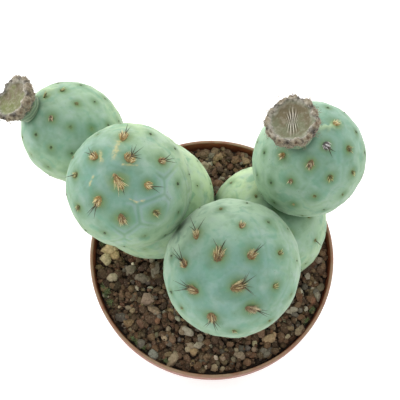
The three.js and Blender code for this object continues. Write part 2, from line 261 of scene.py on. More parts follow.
lightSettings = {
    "skyStrength": 0.66,
    "sideHeight": 260, "sideReach": 620, "sideWidth": 620, "sideTall": 420, "sideAim": 120,   # mm
    "sidePowers": (1.8, 2.8, 0.9, 0.4),    # right back, left back, left front, right front
    "topHeight": 1300, "topWidth": 500, "topPower": 3.5,     # mm, mm, watts as the others
    "floorSize": 6000, "cloudSize": 900,   # mm
    "floorColour": (0.97, 0.97, 0.97), "cloudColour": (0.95, 0.95, 0.95),
    "floorRoughness": 0.9, "floorGlow": 0.34,
}


# The camera over the pot: its place, and a turn about X by the tilt.
def addCamera(s):
    lens = bpy.data.cameras.new("studioCamera")
    lens.lens = s["lens"]
    lens.sensor_width = s["sensor"]
    lens.clip_start = s["nearClip"] * millimetre
    camera = bpy.data.objects.new("studioCamera", lens)
    camera.location = np.array(s["place"]) * millimetre
    camera.rotation_euler = (math.radians(s["tilt"]), 0, 0)
    bpy.context.scene.collection.objects.link(camera)
    bpy.context.scene.camera = camera


# A lamp panel that faces its aim: pitch = angle of aim - place from straight down, turn = its bearing.
def addPanel(name, place, aim, width, tall, power):
    light = bpy.data.lights.new(name, "AREA")
    light.shape = "RECTANGLE"
    light.size = width * millimetre
    light.size_y = tall * millimetre
    light.energy = power
    panel = bpy.data.objects.new(name, light)
    panel.location = np.array(place) * millimetre
    heading = np.array(aim, float) - np.array(place, float)
    flat = math.hypot(heading[0], heading[1])
    panel.rotation_euler = (math.atan2(flat, -heading[2]), 0, math.atan2(-heading[0], heading[1]))
    bpy.context.scene.collection.objects.link(panel)


# A white floor that glows a little, four panels at 45 + 90 n degrees round the pot, one above, a white sky.
def addStudio(s):
    half = s["floorSize"] / 2
    floorFinish = Finish("paperFloor", s["floorRoughness"])
    floorFinish.colour(floorFinish.mix(floorFinish.noise(s["cloudSize"]), s["floorColour"], s["cloudColour"]))
    floorFinish.shader.inputs["Emission Color"].default_value = (1, 1, 1, 1)
    floorFinish.shader.inputs["Emission Strength"].default_value = s["floorGlow"]
    corners = [(-half, -half, 0), (half, -half, 0), (half, half, 0), (-half, half, 0)]
    floor = makePiece("studioFloor", corners, [np.array([[0, 1, 2, 3]])], floorFinish.material)
    for index, power in enumerate(s["sidePowers"]):
        bearing = math.radians(45 + 90 * index)
        place = (s["sideReach"] * math.cos(bearing), s["sideReach"] * math.sin(bearing), s["sideHeight"])
        addPanel("sidePanel%d" % index, place, (0, 0, s["sideAim"]), s["sideWidth"], s["sideTall"], power)
    addPanel("topPanel", (0, 0, s["topHeight"]), (0, 0, 0), s["topWidth"], s["topWidth"], s["topPower"])
    world = bpy.data.worlds.new("softRoom")
    world.use_nodes = True
    sky = world.node_tree.nodes["Background"]
    sky.inputs["Color"].default_value = (1, 1, 1, 1)
    sky.inputs["Strength"].default_value = s["skyStrength"]
    bpy.context.scene.world = world
    bpy.context.scene.view_settings.view_transform = "Standard"


addCamera(cameraSettings)
addStudio(lightSettings)
print("camera, floor and light are in place")


# Colours of bristles at the foot and at the tip; some of the tips take the pale colour.
tuftTones = {
    "orange": {"foot": paint(190, 148, 78), "tip": paint(226, 192, 112), "pale": paint(250, 238, 186)},
    "tan": {"foot": paint(160, 114, 68), "tip": paint(198, 162, 102), "pale": paint(230, 219, 168)},
    "pink": {"foot": paint(156, 118, 84), "tip": paint(190, 160, 116), "pale": paint(219, 206, 166)},
    "olive": {"foot": paint(122, 122, 68), "tip": paint(162, 156, 92), "pale": paint(196, 194, 132)},
    "wool": {"foot": paint(58, 50, 56), "tip": paint(200, 194, 196), "pale": paint(250, 248, 246)},
    "dark": {"foot": paint(58, 86, 56), "tip": paint(88, 112, 72), "pale": paint(128, 140, 96)},
    "cream": {"foot": paint(204, 174, 108), "tip": paint(232, 212, 156), "pale": paint(244, 234, 190)},
}

# What every segment has unless its own lines say otherwise.
plainSegment = {
    "seatsOn": [],                   # segments it grew from, on which its skin is seated
    "seam": 0.03, "wrinkle": 0.0,    # mm, ridges between areoles and wrinkles towards the foot
    "seamSide": (0, 0, 1),           # side on which the ridges show most
    "paleTone": "lemon",             # colour of its paler parts
    "paintedBrightSide": None,              # a side painted paler still: painted light against the shade there
    "tufts": {},                     # areole number -> length and width in mm, tone, number of spines
    "halo": {},                      # areole number -> strength of the painted shade round it, else 1 or otherHalo
    "moved": {},                     # areole number -> shift to the right and to the back in mm
    "scars": [],                     # dry lines: from one direction to another, half width in mm
    "folds": [],                     # raised folds: the same, then their rise in mm
}

# A segment is an egg on its growth axis: centre, half length and radius in mm. Its areoles run along a
# spiral from the tip of the spiral axis: their number, the turn from one to the next and the start bearing
# in degrees, and how many steps the first is from the tip.
# vigour, tone, spines: size, colour and share with spines of the tufts that have no line of their own.
# bristleReach, spineReach: shares of the usual lengths.
# pale: how pale the skin is all over. The pale share on the pale side: painted light, how much paler the skin
# is painted on its better lit side.
# shadedBy: neighbours beside which the skin is painted with dark green shade, each with a share of the usual
# reach.
segmentSettings = {
    "segment_base": {
        "centre": (24.8, 11.8, 95.4), "growth": (-0.1, -0.1, 0.99), "halfLength": 25.9, "radius": 26.2,
        "spiralAxis": (-0.1, -0.1, 0.99), "areoles": 60, "turn": 99.5, "start": 20, "tip": 0.5,
        "grid": (90, 180), "seed": 1, "wrinkle": 0.10,
        "vigour": 0.55, "tone": "olive", "spines": 0.2, "bristleReach": 0.7, "spineReach": 0.75,
        "paintedLightSide": (0.0, 0.9, 0.5), "pale": 0.36, "paintedLightShare": 0.9,
        "shadedBy": {"segment_front": 0.8, "segment_right_top": 1.5, "segment_left_low": 0.8},
    },
    "segment_left_low": {
        "centre": (-25.1, 19.5, 106.2), "growth": (-0.967, 0.149, 0.208), "halfLength": 26.4, "radius": 26.3,
        "spiralAxis": (-0.55, 0.1, 0.83), "areoles": 60, "turn": -137.5, "start": 60, "tip": 0.5,
        "seatsOn": ["segment_base"], "grid": (100, 200), "seed": 2, "wrinkle": 0.16,
        "vigour": 0.45, "tone": "olive", "spines": 0.15, "bristleReach": 0.7, "spineReach": 0.7,
        "paintedLightSide": (0.75, 0.5, 0.3), "pale": 0.3, "paintedLightShare": 0.65,
        "shadedBy": {
            "segment_front": 1.2, "segment_left_top": 0.9, "segment_base": 1.0, "segment_left_outer": 1.0,
        },
    },
    "segment_front": {
        "centre": (7.7, -17.4, 135.9), "growth": (-0.324, -0.554, 0.767), "halfLength": 29.3, "radius": 26.7,
        "spiralAxis": (-0.345, -0.552, 0.759), "areoles": 63, "turn": 106.39, "start": 155.3, "tip": 0.78,
        "seatsOn": ["segment_base"], "grid": (160, 310), "seed": 3,
        "seam": 0.035, "seamSide": (0.5, -0.2, 0.8),
        "vigour": 0.8, "tone": "tan", "spines": 0.6, "bristleReach": 1.0, "spineReach": 1.0,
        "paintedLightSide": (-0.4, 1.1, 0.1), "pale": 0.0, "paintedLightShare": 1.1, "paleTone": "mint",
        "paintedBrightSide": (-0.767, 0.515, 0.38),
        "shadedBy": {"segment_base": 1.0, "segment_right_top": 0.8, "segment_left_top": 0.5},
        "tufts": {
            0: (5.4, 2.8, "tan", 4), 1: (4.6, 3.6, "tan", 5), 2: (6.4, 3.3, "tan", 6),
            3: (3.6, 3.0, "tan", 4), 4: (1.6, 1.3, "olive", 0), 5: (5.8, 2.7, "pink", 3),
            6: (6.2, 3.6, "tan", 3), 7: (1.6, 1.2, "dark", 0), 8: (2.4, 1.4, "olive", 0),
            9: (4.4, 3.4, "tan", 2), 10: (1.2, 1.0, "dark", 0), 11: (1.3, 1.0, "dark", 0),
            12: (2.8, 2.0, "olive", 0), 13: (4.8, 2.2, "tan", 3), 15: (1.4, 1.2, "olive", 0),
            16: (3.2, 2.2, "tan", 0), 19: (2.6, 1.8, "olive", 0), 20: (1.5, 1.2, "dark", 0),
            22: (1.4, 1.1, "dark", 0), 23: (1.7, 1.4, "olive", 0), 26: (1.5, 1.2, "dark", 0),
        },
        "halo": {0: 1.15, 1: 1.2, 3: 0.75, 13: 0.5, 16: 0.5},
        "moved": {3: (-3.9, 0), 4: (-3.2, 3.6), 6: (1, -3), 8: (-2, 1), 13: (0, -3)},
    },
    "segment_left_top": {
        "centre": (-31.8, 9.1, 155.5), "growth": (-0.132, -0.204, 0.97), "halfLength": 26.7, "radius": 23.7,
        "spiralAxis": (-0.158, -0.111, 0.981), "areoles": 60, "turn": 99.48, "start": 300.2, "tip": 0.48,
        "seatsOn": ["segment_left_low"], "grid": (180, 360), "seed": 4,
        "seam": 0.10, "seamSide": (0.4, -0.62, 0.68),
        "vigour": 0.7, "tone": "orange", "spines": 0.4, "bristleReach": 1.0, "spineReach": 0.85,
        "paintedLightSide": (0.55, 1.0, 0.1), "pale": 0.04, "paintedLightShare": 0.75,
        "shadedBy": {"segment_front": 1.8, "segment_left_low": 0.5, "segment_left_outer": 0.8},
        "tufts": {
            0: (7.8, 2.3, "orange", 1), 1: (3.6, 5.2, "orange", 5), 2: (4.2, 3.0, "orange", 2),
            3: (4.6, 2.6, "orange", 3), 4: (3.2, 2.8, "orange", 3), 5: (5.0, 2.6, "orange", 2),
            6: (2.8, 2.4, "olive", 1), 7: (5.0, 2.4, "tan", 0), 8: (3.4, 2.2, "tan", 3),
            9: (1.2, 1.0, "dark", 0), 10: (3.0, 1.6, "olive", 0), 11: (3.4, 2.2, "olive", 0),
            12: (1.4, 1.1, "dark", 0), 13: (1.6, 1.2, "olive", 0), 14: (1.3, 1.0, "dark", 0),
            15: (1.6, 1.3, "dark", 0), 18: (1.2, 1.0, "dark", 0), 19: (1.3, 1.0, "dark", 0),
            22: (1.3, 1.1, "dark", 0),
        },
        "halo": {1: 0.8, 2: 1.25, 5: 0.4, 6: 1.15, 7: 1.1},
        "scars": [
            ((0.087, -0.49, 0.867), (0.19, -0.526, 0.829), 0.3),
            ((0.19, -0.526, 0.829), (0.295, -0.491, 0.82), 0.3),
            ((-0.082, 0.38, 0.921), (-0.142, 0.137, 0.98), 0.95),
            ((-0.45, -0.153, 0.88), (-0.507, -0.277, 0.816), 0.35),
            ((-0.019, -0.006, 1.0), (0.2, -0.016, 0.98), 0.3),
            ((-0.355, 0.21, 0.911), (-0.335, 0.073, 0.939), 0.6),
        ],
    },
    "segment_right_top": {
        "centre": (37.8, 24.8, 140.6), "growth": (0.266, 0.267, 0.926), "halfLength": 25.4, "radius": 22.2,
        "spiralAxis": (0.001, 0.032, 0.999), "areoles": 66, "turn": -137.44, "start": 310, "tip": 1.0,
        "seatsOn": ["segment_base"], "grid": (140, 280), "seed": 5, "seamSide": (-0.1, -0.6, 0.8),
        "vigour": 0.6, "tone": "olive", "spines": 0.2, "bristleReach": 0.7, "spineReach": 0.7,
        "paintedLightSide": (-0.9, 0.2, 0.2), "pale": 0.24, "paintedLightShare": 0.6, "paleTone": "mint",
        "shadedBy": {"segment_base": 1.0, "segment_front": 0.35},
        "tufts": {
            0: (3.8, 3.6, "wool", 2), 2: (3.6, 2.2, "orange", 0), 3: (4.4, 2.4, "pink", 0),
            5: (3.2, 2.6, "olive", 0), 6: (3.2, 2.4, "orange", 0), 7: (1.5, 1.2, "dark", 0),
            8: (3.0, 2.3, "olive", 0), 10: (1.6, 1.3, "dark", 0), 11: (2.6, 1.8, "pink", 0),
            13: (2.6, 1.5, "olive", 0), 14: (1.4, 1.2, "dark", 0), 15: (1.4, 1.1, "dark", 0),
            16: (1.9, 1.4, "olive", 0), 18: (1.4, 1.1, "dark", 0), 19: (1.5, 1.2, "dark", 0),
            21: (1.3, 1.0, "olive", 0), 24: (1.4, 1.1, "cream", 0), 32: (1.3, 1.0, "dark", 0),
        },
        "halo": {0: 0.6},
        "folds": [
            ((0.03, 0.16, 0.98), (0.2, 0.17, 0.96), 1.1, 0.5),
            ((0.2, 0.17, 0.96), (0.42, 0.3, 0.86), 0.9, 0.45),
        ],
    },
    "segment_left_outer": {
        "centre": (-57.0, 39.2, 133.4), "growth": (-0.688, 0.425, 0.588), "halfLength": 22.8, "radius": 20.3,
        "spiralAxis": (-0.408, 0.4, 0.82), "areoles": 66, "turn": -151.49, "start": 329.5, "tip": 0.0,
        "seatsOn": ["segment_left_low"], "grid": (130, 260), "seed": 6,
        "vigour": 0.5, "tone": "olive", "spines": 0.1, "bristleReach": 0.65, "spineReach": 0.7,
        "paintedLightSide": (-0.1, 0.9, 0.4), "pale": 0.12, "paintedLightShare": 0.55,
        "shadedBy": {"segment_left_top": 1.0, "segment_left_low": 1.0},
        "tufts": {
            0: (3.6, 1.4, "olive", 0), 2: (2.6, 1.7, "olive", 0), 4: (1.4, 1.1, "dark", 0),
            5: (3.2, 1.8, "pink", 0), 7: (2.2, 1.6, "olive", 0), 9: (1.3, 1.0, "dark", 0),
            10: (1.6, 1.3, "dark", 0), 12: (1.9, 1.5, "dark", 0), 14: (1.4, 1.1, "dark", 0),
            17: (1.7, 1.4, "dark", 0), 19: (1.6, 1.3, "dark", 0), 21: (1.2, 1.0, "dark", 0),
            24: (1.4, 1.1, "dark", 0), 26: (1.3, 1.0, "dark", 0), 29: (1.4, 1.1, "dark", 0),
        },
        "folds": [((-0.52, 0.62, 0.58), (-0.3, 0.55, 0.78), 1.0, 0.4)],
    },
}
segmentSettings = {name: {**plainSegment, **own} for name, own in segmentSettings.items()}

skinSettings = {
    "pearTaper": 0.04,
    "facetRise": 0.28, "facetEdge": 0.4,           # mm, radians
    "seamApart": 0.95, "seamWidth": 0.48,          # mm
    "furrowDeep": 0.8,                             # share of the seam's height
    "waveHeight": 0.2, "waveLength": 26,           # mm
    "roughHeight": 0.035, "roughLength": 3.5,      # mm
    "scarRise": 0.16, "wrinkleStep": 2.3,          # mm
    "seatGap": 0.15,                               # mm
    # pairs: a length in mm or a share, and what each mm of the areole's tuft adds to it
    "pitDeep": (0.25, 0.07), "rootDeep": 0.6, "pitReach": (0.9, 0.40), "auraReach": (0.9, 0.34),
    # halo: the painted shade round each areole
    "haloReach": (1.7, 0.52), "haloStrength": (0.68, 0.07), "auraStrength": (0.25, 0.2),
    "longestReach": 5, "otherHalo": 0.6,           # mm, strength for areoles without a line of their own
    "seamFull": 0.11,                              # mm, height at which a seam takes its full colour
    "contactShadeReach": (2.2, 6.0), "contactShadeShares": (0.7, 0.3),     # mm, near and wide, of the painted dark green shade beside neighbours
    "fruitSeat": 0.58, "fruitShade": 0.5, "fruitReach": 1.3,     # share of the rim, share, mm: a painted shadow ring round each fruit's seat
    # from and to, as cosines of the angle to the lit side and to the bright side, where light is painted
    "paintedLightFrom": (-0.1, 0.95), "paintedBrightFrom": (0.82, 0.98), "paintedBrightLift": 0.6,
    # pit: dark green, for clouds and for the painted shade in furrows, wrinkle valleys and round areoles
    "top": paint(122, 160, 146), "side": paint(138, 169, 136), "pit": paint(76, 116, 84),
    # lemon and mint: pale tones, mostly for painted light; bright: painted light on the bright side
    "lemon": paint(180, 202, 158), "mint": paint(173, 200, 171), "paintedBright": paint(200, 226, 198),
    "fleck": paint(176, 194, 172), "frost": paint(166, 187, 175), "teal": paint(106, 156, 132),
    "aura": paint(142, 160, 92), "seamTint": paint(150, 166, 174), "crease": paint(180, 202, 158),
    # contact: the dark green of the painted shade beside neighbours and round fruit seats
    "scar": paint(208, 194, 136), "dot": paint(92, 104, 80), "contactShade": paint(14, 74, 34),
    "roughness": 0.55, "gloss": 0.15, "sheen": 0.06, "sheenTint": (1.0, 1.0, 0.8, 1.0),
}

areoleSettings = {
    "openFrom": 84.0,                              # mm, height from which areoles stand clear of the stones
    "openAbove": 1.5, "neighbourGap": 1.2,         # mm, tested above the skin, and clear of other segments
    "fruitGap": 0.8,                               # share of a fruit's rim kept free round its seat
    "leastLong": 1.0, "moreLong": 2.2,             # mm, small and full tufts that have no line of their own
    "bristlesPerArea": 21, "fewest": 22,           # per mm2
    "bristleBase": 0.62, "bristleShare": 0.26,     # mm, and share of the tuft's length
    "bristleWidth": 0.08,                          # mm
    "bristleFan": 0.46, "bristleScatter": 0.2,     # how far they lean to the sides, and at random
    "paleTips": 0.36, "darkTips": 0.24,            # shares of the bristles
    "halfWide": 0.38,                              # half width of the root bed, share of the tuft's width
    "strandsPerLength": 3.4, "strandLeast": 2.2,   # per mm, mm: long loose strands on the larger tufts
    "strandWidth": 0.11, "paleStrands": 0.68,      # mm, share
    "strandDark": paint(74, 52, 38),
    "spineLength": 6.0, "spineSpread": 1.5, "spineWidth": 0.2,   # mm
    "spineFan": 0.42, "spineGap": 0.8,             # radians from one to the next, mm clear of other segments
    "spineSides": 5, "spineSteps": 7,
    "spineRoot": paint(72, 60, 40), "spineTip": paint(36, 40, 28), "spineGrey": paint(104, 106, 84),
    "dull": (0.62, 0.56, 0.5),                     # what dulled bristles keep of each colour
}

# A fruit's foot stands at the seat on its parent, along its axis; height and rim radius in mm.
# notch: bearing in degrees and depth at which the rim is drawn in; lobes: depth of three soft lobes, both
# as shares of the rim's radius. knobRows: heights of its rows of knobs, as shares of its height.
# slits: strength of the slits in its face.
fruitSettings = {
    "fruit_right": {
        "parent": "segment_right_top", "seat": (31.5, 26.3, 164.1), "axis": (-0.27, 0.09, 0.96),
        "height": 14.0, "rim": 9.8, "knobs": 11, "bristlesPerKnob": 36, "seed": 41,
        "notch": (75, 0.03), "lobes": 0.02, "knobRows": (0.70, 0.95),
        "face": paint(119, 122, 93), "slits": 1.0,
    },
    "fruit_left": {
        "parent": "segment_left_outer", "seat": (-72.7, 43.4, 148.5), "axis": (-0.52, 0.1, 0.848),
        "height": 12.2, "rim": 9.2, "knobs": 10, "bristlesPerKnob": 36, "seed": 42,
        "notch": (138, 0.24), "lobes": 0.03, "knobRows": (0.64, 0.87),
        "face": paint(115, 121, 71), "slits": 0.2,
    },
}


# A length or share that grows with a tuft: the first number + the second for each mm of its length.
def withTuft(pair, long):
    return pair[0] + pair[1] * long


# Skin point in a unit direction n: centre + halfLength (n.g) g + radius (1 + taper n.g) (n - (n.g) g),
# raised by a height along n.
def skinPoint(s, directions, height=0.0):
    growth = unit(s["growth"])
    along = directions @ growth
    across = directions - along[..., None] * growth
    wide = s["radius"] * (1 + skinSettings["pearTaper"] * along)
    raised = np.asarray(height)[..., None] * directions
    egg = s["halfLength"] * along[..., None] * growth + wide[..., None] * across
    return np.array(s["centre"]) + egg + raised


# Place of points in a segment's egg, widened by a margin: the length of (along / half length,
# across / radius there), so 1 on its skin and less inside.
def eggLevel(s, points, margin=0.0):
    growth = unit(s["growth"])
    offset = points - np.array(s["centre"])
    along = offset @ growth
    across = np.linalg.norm(offset - along[..., None] * growth, axis=-1)
    wide = s["radius"] * (1 + skinSettings["pearTaper"] * along / s["halfLength"]) + margin
    return np.hypot(along / (s["halfLength"] + margin), across / wide)


# Points inside another segment's egg are moved out to its skin, away from its centre.
def seatedOn(points, others, gap):
    for name in others:
        other = segmentSettings[name]
        level = eggLevel(other, points, gap)[..., None]
        centre = np.array(other["centre"])
        points = np.where(level < 1, centre + (points - centre) / np.maximum(level, 0.05), points)
    return points


# Areole directions: equal steps of height along the spiral axis, a fixed turn from one to the next.
def areoleDirections(s):
    axis = unit(s["spiralAxis"])
    side, front = acrossAxis(axis)
    order = np.arange(s["areoles"])
    height = np.clip(1 - 2 * (order + s["tip"]) / s["areoles"], -1, 1)
    spread = np.sqrt(1 - height ** 2)
    bearing = np.radians(s["start"] + order * s["turn"])
    directions = height[:, None] * axis + spread[:, None] * spokes(bearing, side, front)
    for index, (right, back) in s["moved"].items():
        directions[index] = unit(directions[index] + np.array([right, back, 0]) / s["radius"])
    return directions


# Points that are clear of all segments but their own by a gap: egg level above 1.
def clearOfOthers(name, points, gap):
    clear = np.ones(len(points), bool)
    for other, t in segmentSettings.items():
        if other != name:
            clear &= eggLevel(t, points, gap) > 1
    return clear


# Areoles that stand free: above the stones and clear of neighbours and fruit seats.
def openAreoles(name):
    s, k = segmentSettings[name], areoleSettings
    directions = areoleDirections(s)
    tops = skinPoint(s, directions, k["openAbove"])
    free = (tops[:, 2] > k["openFrom"]) & clearOfOthers(name, tops, k["neighbourGap"])
    for fruit in fruitSettings.values():
        free &= np.linalg.norm(tops - np.array(fruit["seat"]), axis=1) > fruit["rim"] * k["fruitGap"]
    return directions, free


# Length, width, tone and spines of every areole: full near the tip of the spiral, small further down,
# and those with a line of their own as given.
def areolePlan(s):
    k = areoleSettings
    draw = np.random.default_rng(100 + s["seed"])
    count = s["areoles"]
    upper = 1 - smoothStep(0.1, 0.4, np.arange(count) / count)
    long = (k["leastLong"] + k["moreLong"] * upper * s["vigour"]) * draw.uniform(0.8, 1.25, count)
    wide = long * draw.uniform(0.6, 0.85, count)
    spines = np.where(draw.uniform(0, 1, count) < s["spines"] * upper, draw.integers(1, 4, count), 0)
    tones = np.where(upper > 0.55, s["tone"], "dark").astype(object)
    for index, (ownLong, ownWide, tone, ownSpines) in s["tufts"].items():
        long[index], wide[index], tones[index], spines[index] = ownLong, ownWide, tone, ownSpines
    return long, wide, tones, spines


# Nearness to a line between two directions on a segment, as exp(-(distance / half width)^2).
def nearLine(s, directions, start, end, halfWidth):
    start, end = unit(start), unit(end)
    leg = end - start
    share = np.clip((directions - start) @ leg / (leg @ leg), 0, 1)
    distance = np.linalg.norm(directions - start - share[:, None] * leg, axis=1) * s["radius"]
    ragged = 1 + 0.45 * ripple(directions * s["radius"], 2.2, 90)
    return np.exp(-(distance / (halfWidth * np.clip(ragged, 0.3, 2))) ** 2)


# Relief in mm. The skin sinks a little towards the lines where the two nearest areoles are equally far, and
# along them runs a shallow furrow exp(-(distance / width)^2) between two low ridges of the same form, which
# fade out in places. Each areole sits in a pit exp(-(distance / reach)^2) as large as its tuft; slow waves,
# scars, wrinkles towards the foot and single folds come on top. The painted shade round the areoles is
# 1 - the product over all of (1 - depth exp(-(distance / reach)^2)); depth and reach grow with the tuft.
# The furrows and the valleys of the wrinkles are marked for painted shade as well.
def skinRelief(s, directions):
    k = skinSettings
    areoles = areoleDirections(s)
    long = areolePlan(s)[0]
    closeness = directions @ areoles.T
    first = closeness.argmax(-1)
    top = np.partition(closeness, -2, axis=-1)
    nearest = np.arccos(np.clip(top[:, -1], -1, 1))
    edge = np.arccos(np.clip(top[:, -2], -1, 1)) - nearest
    apart = edge * s["radius"] / 2
    patch = smoothStep(-1.1, 0.5, ripple(directions * s["radius"], 20, s["seed"] + 50))
    patch *= 0.22 + 0.78 * smoothStep(0.45, 0.85, directions @ unit(s["seamSide"]))
    ridge = np.exp(-((apart - k["seamApart"]) / k["seamWidth"]) ** 2) * patch
    furrow = np.exp(-(apart / k["seamWidth"]) ** 2) * patch
    reach = nearest * s["radius"]
    own = long[first]
    pit = np.exp(-(reach / withTuft(k["pitReach"], np.minimum(own, k["longestReach"]))) ** 2)
    inner = smoothStep(0, 0.16, edge)
    away = np.arccos(np.clip(closeness, -1, 1)) * s["radius"]
    away = away / withTuft(k["haloReach"], np.minimum(long, k["longestReach"]))
    plain = [1 if index in s["tufts"] else k["otherHalo"] for index in range(len(long))]
    depth = np.array([s["halo"].get(index, strength) for index, strength in enumerate(plain)])
    depth = np.clip(depth * withTuft(k["haloStrength"], long), 0, 0.95)
    shade = 1 - np.prod(1 - depth * np.exp(-away ** 2), axis=-1)
    aura = np.exp(-(reach / withTuft(k["auraReach"], own)) ** 2) * inner
    height = k["facetRise"] * (smoothStep(0, k["facetEdge"], edge) - 1)
    height += s["seam"] * (ridge - k["furrowDeep"] * furrow) - withTuft(k["pitDeep"], own) * pit
    height += k["waveHeight"] * ripple(directions * s["radius"], k["waveLength"], s["seed"])
    height += k["roughHeight"] * ripple(directions * s["radius"], k["roughLength"], s["seed"] + 20)
    low = smoothStep(0.05, -0.65, directions[:, 2])
    fold = np.sin(directions[:, 2] * s["radius"] * 2 * math.pi / k["wrinkleStep"]
                  + 1.6 * ripple(directions * s["radius"], 22, s["seed"] + 30))
    height += s["wrinkle"] * low * fold
    scar = np.zeros(len(directions))
    for start, end, halfWidth in s["scars"]:
        scar = np.maximum(scar, nearLine(s, directions, start, end, halfWidth))
    height += k["scarRise"] * scar
    crease = np.zeros(len(directions))
    for start, end, halfWidth, rise in s["folds"]:
        line = nearLine(s, directions, start, end, halfWidth)
        crease = np.maximum(crease, line)
        height += rise * line
    # pit, furrow and fold carry painted shade: round the areoles, in the furrows and in the wrinkle valleys
    marks = {
        "ridge": ridge * s["seam"] / k["seamFull"], "pit": shade,
        "aura": aura * np.clip(withTuft(k["auraStrength"], own), 0, 1), "scar": scar, "crease": crease,
        "furrow": furrow * s["seam"] / k["seamFull"],
        "fold": low * np.maximum(-fold, 0) * (s["wrinkle"] > 0),
    }
    return height, marks


# A segment's skin: a grid of polar angle and bearing about the growth axis, with the relief on it.
# Contact shade, dark green shade painted beside a neighbour, is the largest over its neighbours of
# near and wide shares of exp(-(distance / reach)^2), and a painted shadow ring of the same form round a
# fruit's seat.
# Paleness is pale + painted light: a share on the better lit side and a painted lift on the bright side,
# against the shade there.
def addSkin(name, s, finish):
    k = skinSettings
    rings, around = s["grid"]
    growth = unit(s["growth"])
    side, front = acrossAxis(growth)
    polar = (np.arange(rings) + 0.5) * math.pi / rings
    across = spokes(circleSteps(around), side, front)
    grid = np.cos(polar)[:, None, None] * growth + np.sin(polar)[:, None, None] * across
    directions = np.concatenate([[growth], grid.reshape(-1, 3), [-growth]])
    height, marks = skinRelief(s, directions)
    points = seatedOn(skinPoint(s, directions, height), s["seatsOn"], k["seatGap"])
    piece = makePiece(name + "_skin", points, poleGridFaces(rings, around), finish)
    for mark, values in marks.items():
        paintNumber(piece, mark, values)
    # painted shade: dark green beside the neighbours, and a painted shadow ring round each fruit's seat
    contactShade = np.zeros(len(points))
    for other, strength in s["shadedBy"].items():
        away = np.maximum(eggLevel(segmentSettings[other], points) - 1, 0) * segmentSettings[other]["radius"]
        near, wide = (np.exp(-(away / (reach * strength)) ** 2) for reach in k["contactShadeReach"])
        contactShade = np.maximum(contactShade, k["contactShadeShares"][0] * near + k["contactShadeShares"][1] * wide)
    for fruit in fruitSettings.values():
        away = np.linalg.norm(points - np.array(fruit["seat"]), axis=1) - fruit["rim"] * k["fruitSeat"]
        contactShade = np.maximum(contactShade, k["fruitShade"] * np.exp(-(np.maximum(away, 0) / k["fruitReach"]) ** 2))
    paintNumber(piece, "contactShade", contactShade)
    paintNumber(piece, "tipward", directions @ unit(unit(s["spiralAxis"]) + (0, 0, 1.2)))
    # painted light: paler on the better lit side, and paler still on the bright side to lift the shade there
    lift = np.zeros(len(points))
    if s["paintedBrightSide"]:
        lift = smoothStep(*k["paintedBrightFrom"], directions @ unit(s["paintedBrightSide"]))
    palenessWithPaintedLight = s["pale"] + s["paintedLightShare"] * smoothStep(*k["paintedLightFrom"], directions @ np.array(s["paintedLightSide"]))
    paintNumber(piece, "palenessWithPaintedLight", palenessWithPaintedLight + k["paintedBrightLift"] * lift)
    tone = np.array(k[s["paleTone"]])
    paintColour(piece, "paleColourWithPaintedLight", tone + lift[:, None] * (np.array(k["paintedBright"]) - tone))
    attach(piece, "root")
    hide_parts(name)


# Waxy skin: bluish bloom round the growing tip and greener further down, mixed with the piece's own pale
# colour by its paleness, which is partly painted light, and painted paler away from the tip as light on its
# edges;
# with pale flecks, frosty and teal clouds. The ridges are lilac, folds and scars pale, small dots dull;
# furrows, wrinkle valleys and the surroundings of areoles get painted green shade, contacts painted dark
# green shade.
def waxySkin():
    k = skinSettings
    skin = Finish(
        "waxySkin", k["roughness"], Sheen_Weight=k["sheen"], Sheen_Roughness=0.35, Sheen_Tint=k["sheenTint"],
        Specular_IOR_Level=k["gloss"],
    )
    tipward = skin.attribute("tipward")
    bloom = skin.sum(skin.noise(9, 5), 0.9, skin.sum(tipward, 1.0, -0.65))
    body = skin.mix(skin.band(bloom, 0.1, 0.75), k["side"], k["top"])
    # painted light: paler away from the growing tip, for bright edges
    edge = skin.band(tipward, 0.55, -0.4, 0.0, 0.55)
    pale = skin.sum(skin.attribute("palenessWithPaintedLight"), 1.0, edge)
    pale = skin.sum(pale, skin.clouds(16, 2, 0.3, 0.7, 0.6, 1.0))
    body = skin.mix(pale, body, skin.attribute("paleColourWithPaintedLight", "Color"))
    skin.colour(skin.cover(body, k, [
        (skin.clouds(1.3, 5, 0.55, 0.8, 0.0, 0.22), "fleck"),
        (skin.clouds(4.5, 4, 0.52, 0.3, 0.0, 0.34), "pit"),
        (skin.clouds(6.5, 4, 0.5, 0.7, 0.0, 0.45), "frost"),
        (skin.clouds(5.0, 4, 0.47, 0.34, 0.0, 0.5, 0.6), "teal"),
        (skin.sum(skin.attribute("ridge"), 0.42), "seamTint"),
        # painted shade: green in the furrows, in the wrinkle valleys and round the areoles
        (skin.sum(skin.attribute("furrow"), 0.35), "pit"),
        (skin.sum(skin.attribute("fold"), 0.3), "pit"),
        (skin.sum(skin.attribute("pit"), 0.9), "pit"),
        (skin.sum(skin.attribute("crease"), 0.6), "crease"),
        (skin.sum(skin.attribute("aura"), skin.clouds(1.8, 3, 0.3, 0.7, 0.35, 0.9)), "aura"),
        (skin.sum(skin.attribute("scar"), skin.clouds(0.9, 4, 0.36, 0.62, 0.12, 0.75)), "scar"),
        (skin.sum(skin.band(skin.specks(3.4), 0.07, 0.04), 0.45), "dot"),
        # painted dark green shade beside neighbours and round fruit seats
        (skin.sum(skin.attribute("contactShade"), 0.9), "contactShade"),
    ]))
    skin.roughness(skin.clouds(3, 3, 0.3, 0.7, 0.48, 0.66))
    skin.bump(skin.sum(skin.noise(0.5, 2), 0.5, skin.noise(2.2, 3)), 0.09)
    return skin.material


